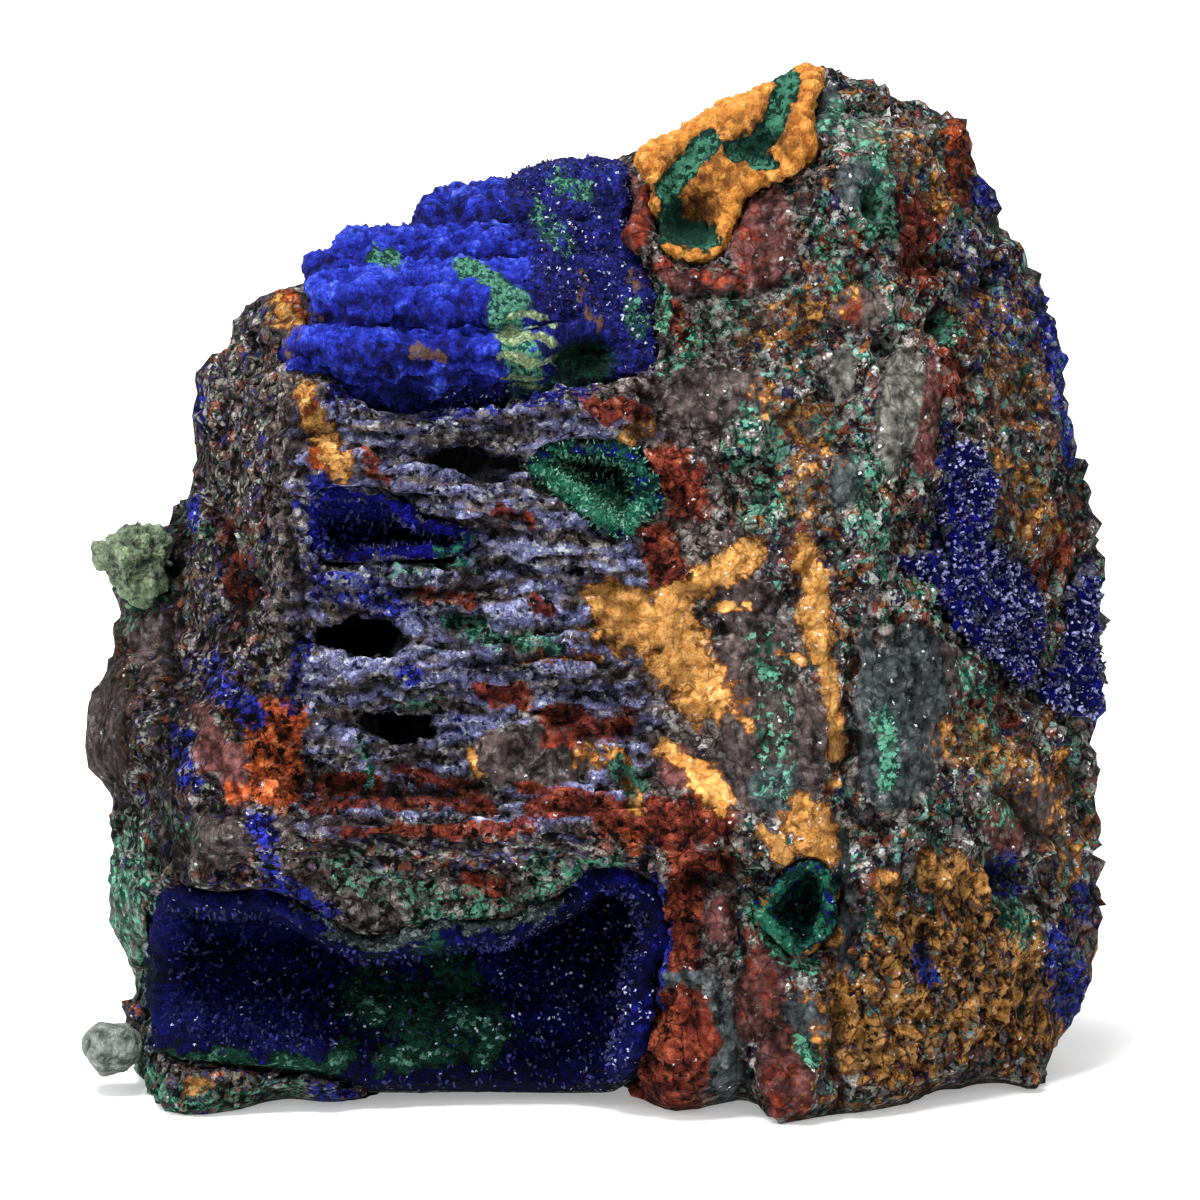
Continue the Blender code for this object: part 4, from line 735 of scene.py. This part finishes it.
def grow(skin, cover, crystal, thick, high, per_square_mm, lean, seed, material):
    """Small crystals that stand on a skin where its cover says, as one plain mesh."""
    tree = bpy.data.node_groups.new(crystal, "GeometryNodeTree")
    tree.interface.new_socket("Geometry", in_out="INPUT", socket_type="NodeSocketGeometry")
    sizes = {"Width": thick, "Height": high, "Each Square Metre": per_square_mm / MM**2, "Lean": lean}
    keys = {}
    for name in sizes:
        socket = tree.interface.new_socket(name, in_out="INPUT", socket_type="NodeSocketFloat")
        keys[name] = socket.identifier
    tree.interface.new_socket("Geometry", in_out="OUTPUT", socket_type="NodeSocketGeometry")
    wire = Wire(tree)
    given = tree.nodes.new("NodeGroupInput")
    ends = tree.nodes.new("NodeGroupOutput")
    size = {name: Wire(tree, given.outputs[name]) for name in sizes}
    shown = wire.add("GeometryNodeInputNamedAttribute", {"data_type": "FLOAT"}, {"Name": cover})
    surface = Wire(tree, given.outputs["Geometry"])
    spread = {"Mesh": surface, "Density": shown * size["Each Square Metre"], "Seed": seed}
    points = wire.add("GeometryNodeDistributePointsOnFaces", None, spread)
    turn = Wire(tree, points.socket.node.outputs["Rotation"])
    lean_by = wire.add("FunctionNodeRandomValue", {"data_type": "FLOAT_VECTOR"},
                       {"Min": (-1.0, -1.0, -3.1), "Max": (1.0, 1.0, 3.1), "Seed": seed + 1})
    lean_by = lean_by.add("FunctionNodeEulerToRotation", None, {0: lean_by.lit(size["Lean"])})
    turn = turn.add("FunctionNodeRotateRotation", {"rotation_space": "LOCAL"}, {0: turn, 1: lean_by})
    scale = wire.add("FunctionNodeRandomValue", {"data_type": "FLOAT_VECTOR"},
                     {"Min": (0.6, 0.25, 0.5), "Max": (1.3, 0.8, 1.5), "Seed": seed + 2})
    shape = {"Vertices": 5, "Depth": size["Height"]}
    shape["Radius Top"] = size["Width"] * 0.35
    shape["Radius Bottom"] = size["Width"] * 0.5
    blade = wire.add("GeometryNodeMeshCone", None, shape)
    grown = wire.add("GeometryNodeInstanceOnPoints", None,
                     {"Points": points, "Instance": blade, "Rotation": turn, "Scale": scale})
    real = wire.add("GeometryNodeRealizeInstances", None, {0: grown})
    real = wire.add("GeometryNodeSetMaterial", None, {0: real, "Material": material})
    tree.links.new(real.socket, ends.inputs[0])
    stand = added(crystal + "_stand", skin.data)
    growth = stand.modifiers.new("growth", "NODES")
    growth.node_group = tree
    for name, value in sizes.items():
        growth[keys[name]] = value
    mesh = bpy.data.meshes.new_from_object(stand.evaluated_get(bpy.context.evaluated_depsgraph_get()))
    stand.modifiers.remove(growth)
    bpy.data.objects.remove(stand)
    while len(mesh.attributes) and mesh.attributes.get(cover):
        mesh.attributes.remove(mesh.attributes[cover])
    crystals = added(crystal, mesh)
    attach(crystals, "root")
    return crystals


def crystal_finish(name, deep, bright, pale):
    """Glassy faces in three shades of one mineral."""
    material, wire, place = new_finish(name)
    number = granules(place, 0.6, 2.0)[0]
    shade = number * 0.6 + grain(place, 0.25, 3.0) * 0.4
    colour = shade.ramp(((0.15, *deep), (0.6, *bright), (0.95, *pale)))
    height = grain(place, 0.08, 4.0, 1.0) * 0.01
    return close_finish(material, wire, colour, 0.3 + number * 0.3, height, specular=0.3)


def druse(node, size, seed, grain_size, middle_of, greens=(), brights=(), deep=(50.0, 60.0), swell=0.4,
          rim_width=0.7, rim_paint=((40, 36, 46), (76, 76, 92), (120, 120, 138)), sparkles=(), shadows=(),
          wide_rims=()):
    """A crust of small crystals on a node, with lists of green, bright, painted-glint and painted-shadow
    streaks.
    """
    mesh, places, normals = net_of(node, size)
    u, w, d = drawn(places)
    own = places / MM
    crystals = chips(own, grain_size, seed)
    swells = lumps(own, 2.2, seed + 1)
    rim_width = rim_width * (1.0 + 4.0 * stain(u, w, wide_rims))
    rim = 1.0 - ease(0.2, 1.0, rim_of(u, w) / rim_width + 0.5 * swells)
    towards = np.array(placed(*middle_of)) - places
    inner = ease(0.0, 0.3, (towards * normals).sum(1) / np.linalg.norm(towards, axis=1))
    relief = swell + 0.45 * (crystals - 0.5) * grain_size + 0.3 * swells + rim * (0.5 * swells - 0.2)
    relief *= 1 - 0.9 * ease(0.3, 0.8, -normals[:, 2])
    masks = {
        "crest": 0.35 + 0.45 * crystals + 0.4 * swells,
        "green": stain(u + 0.5 * swells, w + 0.5 * swells, greens),
        "bright": stain(u + 0.4 * swells, w + 0.4 * swells, brights),
        # deep: painted shade, growing deeper in the hollow and along the shadow streaks.
        "deep": np.maximum(ease(*deep, d), stain(u + 0.5 * swells, w + 0.5 * swells, shadows)),
        "rim": rim,
        "sparkle": 0.25 + stain(u, w, sparkles),
        "bare": inner * (1 - rim) * (1 - stain(u, w, greens)),
    }
    material, wire, place = new_finish(node)
    middle, fine = grain(place, 0.9, 1.0), grain(place, 0.2, 2.0, 2.0)
    number, edge = granules(place, 0.42, 3.0)
    speck = granules(place, 0.17, 4.0)[0]
    # The crust is painted lighter on raised grains (crest): painted light.
    crust = (number * 0.45 + mask(wire, "crest") * 0.3 + fine * 0.3).ramp((
        (0.15, 0, 0, 8), (0.45, 1, 2, 50), (0.72, 4, 6, 100), (1.0, 40, 44, 168),
    ))
    lights = (fine * 0.5 + number * 0.5).ramp((
        (0.3, 20, 26, 124), (0.55, 44, 52, 166), (0.8, 128, 136, 214),
    ))
    crust = crust.under(lights, ragged(mask(wire, "bright"), number * 0.6 + middle * 0.3, 4.0) * 0.85)
    crust = crust.under(paint(6, 34, 28), ragged(mask(wire, "green"), middle * 0.8, 4.0))
    malachite = ragged(mask(wire, "green") - 0.22, number * 0.6 + middle * 0.2, 5.0)
    crust = crust.under(paint(34, 96, 76), malachite * 0.9)
    # Painted shade: darker deeper in the hollow and along the shadow streaks.
    crust = crust.lit(1.0 - mask(wire, "deep") * 0.72)
    crust = crust.under(paint(104, 160, 136), ragged(mask(wire, "green") - 0.85, number * 0.5, 6.0) * 0.85)
    rim_stops = [(at, *colour) for at, colour in zip((0.1, 0.6, 0.95), rim_paint)]
    stone = (number * 0.6 + fine * 0.4).ramp(rim_stops)
    crust = crust.under(stone, ragged(mask(wire, "rim") * 0.9, middle * 0.8, 4.0))
    bright_rim = ragged(mask(wire, "bright") * 1.2 - 0.2, number * 0.5 + middle * 0.5, 5.0)
    crust = crust.under(paint(30, 38, 140), bright_rim * mask(wire, "rim"))
    # Painted glints: tiny pale grains on raised crests stand in for sparkles of light.
    glint = ragged(mask(wire, "crest") * mask(wire, "sparkle") * 0.04, speck, 300.0)
    glint = glint * (1.0 - mask(wire, "rim"))
    crust = crust.under(paint(200, 208, 240), glint)
    height = number * 0.20 - edge * 0.28 + fine * 0.08
    roughness = 0.75 + fine * 0.2 - glint * 0.5
    # The colour is darkened at the edges of the grains: painted shade between them.
    close_finish(material, wire, crust.lit(1.25 - edge * 0.8), roughness, height, specular=0.06)
    return dress(node, mesh, places, normals, relief, masks, material)


cave = druse("azurite_cave_lining", 0.34, 30, 0.9, (-13.0, 10.0, -14.0), (
    (((-15.6, 9.4), (-12, 7.6), (-8.4, 7.2)), 2.8, 0.80), (((-17, 9.2), (-15.2, 8)), 0.8, 1.3),
    (((-9.6, 7.8), (-7.2, 6.4), (-8.4, 5)), 0.9, 1.3), (((-15, 5.2), (-11, 5.4)), 0.9, 1.1),
    (((-11.6, 13), (-9.4, 10)), 1.7, 0.75), (((-31, 5.4), (-24, 4.8), (-19.5, 4.4)), 0.6, 1.3),
    (((-19.6, 3.6), (-17.6, 5.6)), 0.7, 1.3), (((-31.8, 13), (-31.6, 7)), 0.9, 0.6),
), (
    (((1, 18.6), (3.9, 17.5), (5, 14.3), (4, 10), (3.5, 6)), 0.25, 1.2),
    (((-29, 8.6), (-24, 7.6), (-21, 6.4)), 2, 0.70), (((-3, 9), (1, 6)), 3, 0.50),
    (((-29.6, 15), (-26, 14.6), (-21.6, 14.4)), 1.6, 0.62), (((-8, 11.4), (-6, 11)), 1.2, 0.5),
), deep=(-17.5, -9.0), rim_width=0.36, rim_paint=((18, 20, 24), (62, 72, 72), (138, 154, 148)), sparkles=(
    (((-3, 12), (1.5, 6)), 3.4, 0.9), (((1, 14), (2, 10)), 2, 0.9), (((-18, 8), (-8, 6)), 2, 0.4),
), shadows=(
    (((-29, 12.6), (-20, 12), (-12, 11.8)), 0.7, 0.7),
    (((-4, 15.4), (0.4, 17.2), (3.4, 16.4), (3.9, 14)), 0.9, 0.85),
    (((1, 16.8), (3, 16), (3.4, 13), (2.4, 8), (2, 5)), 0.9, 0.75),
    (((-30, 16.2), (-25, 15.4), (-20.6, 13.4), (-13, 12.2), (-5, 13.2), (-1, 16.6)), 0.7, 0.85),
), wide_rims=((((-19.6, 15.0), (-12.5, 13.6), (-4.6, 15.2)), 2.2, 1.0),))
pocket = druse("malachite_pocket_lining", 0.22, 40, 0.8, (0.0, 44.0, -13.0), (
    (((-4.5, 46.5), (0, 45), (3, 44)), 6, 0.62), (((-3.6, 45.6), (-1, 44.4), (2.2, 42.8)), 1.3, 1.5),
), deep=(-12.5, -7.0), rim_paint=((30, 44, 42), (74, 84, 88), (120, 132, 128)))
slit = druse("azurite_slit_lining", 0.24, 50, 0.7, (-15.0, 41.0, -13.0), (
    (((-11, 40.6), (-9, 41.4)), 0.6, 0.6),
), (
    (((-19.5, 43.6), (-15, 43)), 1.4, 0.6),
), deep=(-14.0, -10.0))
druse("malachite_hollow_lining", 0.22, 60, 0.8, (13.5, 14.0, -17.0), (
    (((11.5, 15), (15, 15.6)), 5, 0.66), (((11.4, 15), (13, 12.8)), 0.8, 1.3),
    (((15.6, 15), (15.8, 13.6)), 0.4, 1),
), deep=(-14.5, -9.0), swell=0.15, rim_width=0.45, rim_paint=((92, 54, 26), (160, 104, 48), (196, 140, 74)))
vein = druse("azurite_vein", 0.30, 70, 0.9, (26.0, 37.0, -60.0), (), (
    (((28.6, 39), (30, 34), (29, 31.6)), 0.8, 0.5), (((23.4, 40.6), (25, 36.4)), 0.7, 0.5),
    (((25.4, 46.8), (27, 43), (26, 38)), 2.6, 0.42),
), swell=0.5, rim_width=0.01, sparkles=((((24.0, 46.0), (27.0, 38.0), (30.0, 32.0)), 3.0, 4.2),), shadows=(
    (((25.4, 47.4), (26, 45)), 0.9, 0.95), (((27.2, 42), (28.6, 38.4)), 0.9, 0.9),
    (((24, 39.8), (25.6, 37.8)), 0.6, 0.8), (((29.4, 36.4), (29.8, 33.6)), 0.7, 0.8),
    (((26.4, 36.6), (27.2, 34.4)), 0.6, 0.7),
))
edge_crust = druse("azurite_edge_crust", 0.30, 80, 0.9, (33.0, 32.0, -60.0), (), (
    (((34, 36), (34, 29)), 1, 0.4),
), swell=0.5, rim_width=0.01, sparkles=((((33.0, 37.0), (33.0, 31.0)), 3.0, 3.4),), shadows=(
    (((33.4, 36.4), (33.6, 34)), 0.8, 0.8), (((32.4, 31.6), (34.2, 29.6)), 0.6, 0.8),
))

blue_faces = crystal_finish("azurite_crystal", (2, 2, 22), (8, 9, 66), (52, 60, 156))
# Its few near-white faces are painted flashes of light off the vein's and the edge's crystals.
flashing_faces = crystal_finish("flashing_azurite_crystal", (0, 0, 8), (7, 7, 58), (176, 176, 232))
green_faces = crystal_finish("malachite_crystal", (8, 48, 38), (60, 124, 98), (150, 190, 168))
for seed, (skin, slot, cover, crystal, thick, high, per_square_mm, lean, finish) in enumerate((
    (cave, "azurite_cave_lining", "bare", "azurite_blades_in_cave", 0.3, 0.3, 2, 0.7, blue_faces),
    (slit, "azurite_slit_lining", "bare", "azurite_blades_in_slit", 0.28, 0.3, 2.5, 0.7, blue_faces),
    (vein, "azurite_vein", "bare", "azurite_blades_on_vein", 0.38, 0.35, 5, 0.9, flashing_faces),
    (edge_crust, "azurite_edge_crust", "bare", "azurite_blades_on_edge", 0.38, 0.35, 5, 0.9, flashing_faces),
    (pocket, "malachite_pocket_lining", "green", "malachite_needles_in_pocket", 0.16, 0.28, 5, 0.6,
     green_faces),
    (ledges, "azurite_terraces", "sparkle", "azurite_grains_on_ledges", 0.24, 0.2, 4, 0.9, blue_faces),
), 1):
    grow(skin, cover, crystal, thick * MM, high * MM, per_square_mm, lean, seed, finish)


# The limonite hollow at the top: earthy ochre iron oxide with a proud rim and ribbons of green malachite.
# The ribbons fill cracks of the ochre; painted shade darkens the hollow's foot, and the knobs get painted
# light.
geode_mesh, places, normals = net_of("limonite_geode", 0.26)
u, w, d = drawn(places)
own = places / MM
knobs = chips(own, 1.1, 90)
earth = lumps(own, 0.7, 91)
masks = {
    "green": stain(u + 0.3 * earth, w + 0.3 * earth, (
        (((4.8, 66), (6, 67.4), (7.8, 69.4)), 0.8, 1),
        (((9.6, 68.7), (11.2, 69.2), (12.2, 70.4), (13.4, 73.6)), 0.8, 1),
        (((11, 67.8), (12.2, 67.8)), 0.5, 1), (((4.8, 63.2), (7.6, 62.6)), 1, 0.8),
        (((5, 65.4), (5.2, 63.6)), 0.7, 0.8),
    )),
    # deep: painted shade at the hollow's foot and in a smaller low at its upper right.
    "deep": np.maximum(
        1.4 * spot(u, w, (6.6, 63.8), (2.3, 2.6)), 0.7 * spot(u, w, (11.3, 69.2), (2.2, 1.3), 12)
    ),
    "crest": 0.3 + 0.45 * knobs + 0.5 * earth,
    "lip": 1.0 - ease(0.5, 1.5, rim_of(u, w, 0.3) + 0.4 * earth),
}
relief = 0.30 + 0.20 * (knobs - 0.5) + 0.28 * earth - 0.5 * masks["green"]
material, wire, place = new_finish("limonite_geode")
middle, fine = grain(place, 0.9, 1.0, 4.0), grain(place, 0.22, 2.0, 2.0)
tiny, tiny_edge = granules(place, 0.4, 3.0)
# The earth is painted lighter on its knobs (crest): painted light.
earthy = (mask(wire, "crest") * 0.4 + middle * 0.35 + fine * 0.25).ramp((
    (0.12, 82, 46, 20), (0.38, 156, 96, 40), (0.62, 196, 132, 60), (0.95, 226, 170, 98),
))
basin = ragged(0.78 - mask(wire, "crest") * 0.3, grain(place, 0.8, 5.0, 5.0), 4.0)
basin = basin * (1.0 - mask(wire, "lip"))
earthy = earthy.under(paint(92, 54, 26), basin * 0.75)
# Painted shade darkens the deep parts; the lip is kept lighter than the rest.
earthy = earthy.lit((1.0 - mask(wire, "deep") * 0.75) * (0.80 + mask(wire, "lip") * 0.25))
earthy = earthy.under(paint(10, 40, 32), ragged(mask(wire, "green"), middle * 0.6, 6.0))
pale_ribbons = ragged(mask(wire, "green") - 0.3, tiny * 0.9, 4.0) * (1.0 - mask(wire, "deep"))
earthy = earthy.under(paint(56, 108, 86), pale_ribbons)
height = middle * 0.22 + fine * 0.12 - tiny_edge * 0.10
# The colour is darkened at the edges of the grains: painted shade between them.
close_finish(material, wire, earthy.lit(1.12 - tiny_edge * 0.4), 0.92 - fine * 0.1, height, specular=0.1)
dress("limonite_geode", geode_mesh, places, normals, relief, masks, material)


# The green tuft and the pale plate: a ball of fine grey-green needles, and one glassy plate-shaped crystal.
# Both grew at the rock's left edge.
for node, size, deep_paint, pale_paint, needle in (
    ("malachite_tuft", 0.20, (4, 10, 5), (128, 150, 112), 0.50),
    ("pale_plate_crystal", 0.22, (22, 30, 27), (138, 148, 139), 0.10),
):
    mesh, places, normals = net_of(node, size)
    own = places / MM
    lobes = lumps(own, 2.4, 101)
    tufts = 0.5 + 0.45 * lumps(own, 0.8, 100) + 0.3 * lumps(own, 0.35, 102) + 0.5 * lobes
    relief = 1.2 * needle * (tufts - 0.5) + 2.0 * needle * lobes
    material, wire, place = new_finish(node)
    middle, fine = grain(place, 0.7, 1.0), grain(place, 0.18, 2.0, 2.0)
    tiny, tiny_edge = granules(place, 0.3, 3.0)
    # The colour is painted lighter on the high tufts (crest) and darker at the grains' edges: painted light
    # and shade.
    colour = (mask(wire, "crest") * 0.35 + middle * 0.35 + tiny * 0.3).ramp((
        (0.3, *deep_paint), (0.8, *pale_paint),
    ))
    colour = colour.lit(1.2 - tiny_edge * 0.7)
    close_finish(material, wire, colour, 0.55 + fine * 0.2, middle * 0.15 + fine * 0.10)
    dress(node, mesh, places, normals, relief, {"crest": tufts}, material)


# The white paper that the specimen stands on, swept up behind it, and the soft lights of a photo tent.
# The main light is overhead and slightly in front; weaker ones fill from the front and the left.
HALF_PAPER = 1.6
CURL_STARTS, CURL = 1.2, 0.4
PAPER_TALL = 2.0
floor_mesh = bpy.data.meshes.new("paper")
sweep = bmesh.new()
turns = np.linspace(0.2, math.pi / 2, 8)
curl = [(CURL_STARTS + CURL * math.sin(turn), CURL - CURL * math.cos(turn)) for turn in turns]
profile = [(-HALF_PAPER, 0.0), (CURL_STARTS, 0.0), *curl, (HALF_PAPER, PAPER_TALL)]
left = [sweep.verts.new((-HALF_PAPER, y, z)) for y, z in profile]
right = [sweep.verts.new((HALF_PAPER, y, z)) for y, z in profile]
for k in range(len(profile) - 1):
    sweep.faces.new((left[k], right[k], right[k + 1], left[k + 1]))
sweep.to_mesh(floor_mesh)
sweep.free()
floor_mesh.polygons.foreach_set("use_smooth", np.ones(len(floor_mesh.polygons), bool))
paper = added("paper", floor_mesh)
material, wire, place = new_finish("white_paper")
fibre = grain(place, 0.5, 1.0)
colour = fibre.ramp(((0.0, 0.90), (1.0, 0.94)))
close_finish(material, wire, colour, 0.9 + fibre * 0.05, fibre * 0.002, specular=0.1)
# The paper glows more the farther it is from the specimen: painted light that keeps its far parts white.
away = place.add("ShaderNodeVectorMath", {"operation": "LENGTH"}, {0: place}, "Value")
glow = (away * 0.001).ramp(((0.16, 0.30), (0.75, 0.92)))
paper_shader = material.node_tree.nodes["Principled BSDF"].inputs
material.node_tree.links.new(glow.socket, paper_shader["Emission Color"])
paper_shader["Emission Strength"].default_value = 1.0
floor_mesh.materials.append(material)

for name, at, size, power in (
    ("top_light", (-0.10, -0.20, 0.55), 0.25, 6.2),
    ("front_light", (0.05, -0.75, 0.32), 0.5, 2.8),
    ("left_light", (-0.60, -0.20, 0.30), 0.3, 1.4),
):
    light = bpy.data.lights.new(name, "AREA")
    light.size = size
    light.energy = power
    lamp = added(name, light)
    lamp.location = at
    lamp.rotation_euler = (Vector((0.0, 0.0, 0.035)) - Vector(at)).to_track_quat("-Z", "Y").to_euler()

world = bpy.data.worlds.new("tent")
world.use_nodes = True
world.node_tree.nodes["Background"].inputs["Color"].default_value = (1.0, 1.0, 1.0, 1.0)
world.node_tree.nodes["Background"].inputs["Strength"].default_value = 0.22
bpy.context.scene.world = world
bpy.context.scene.view_settings.view_transform = "Standard"
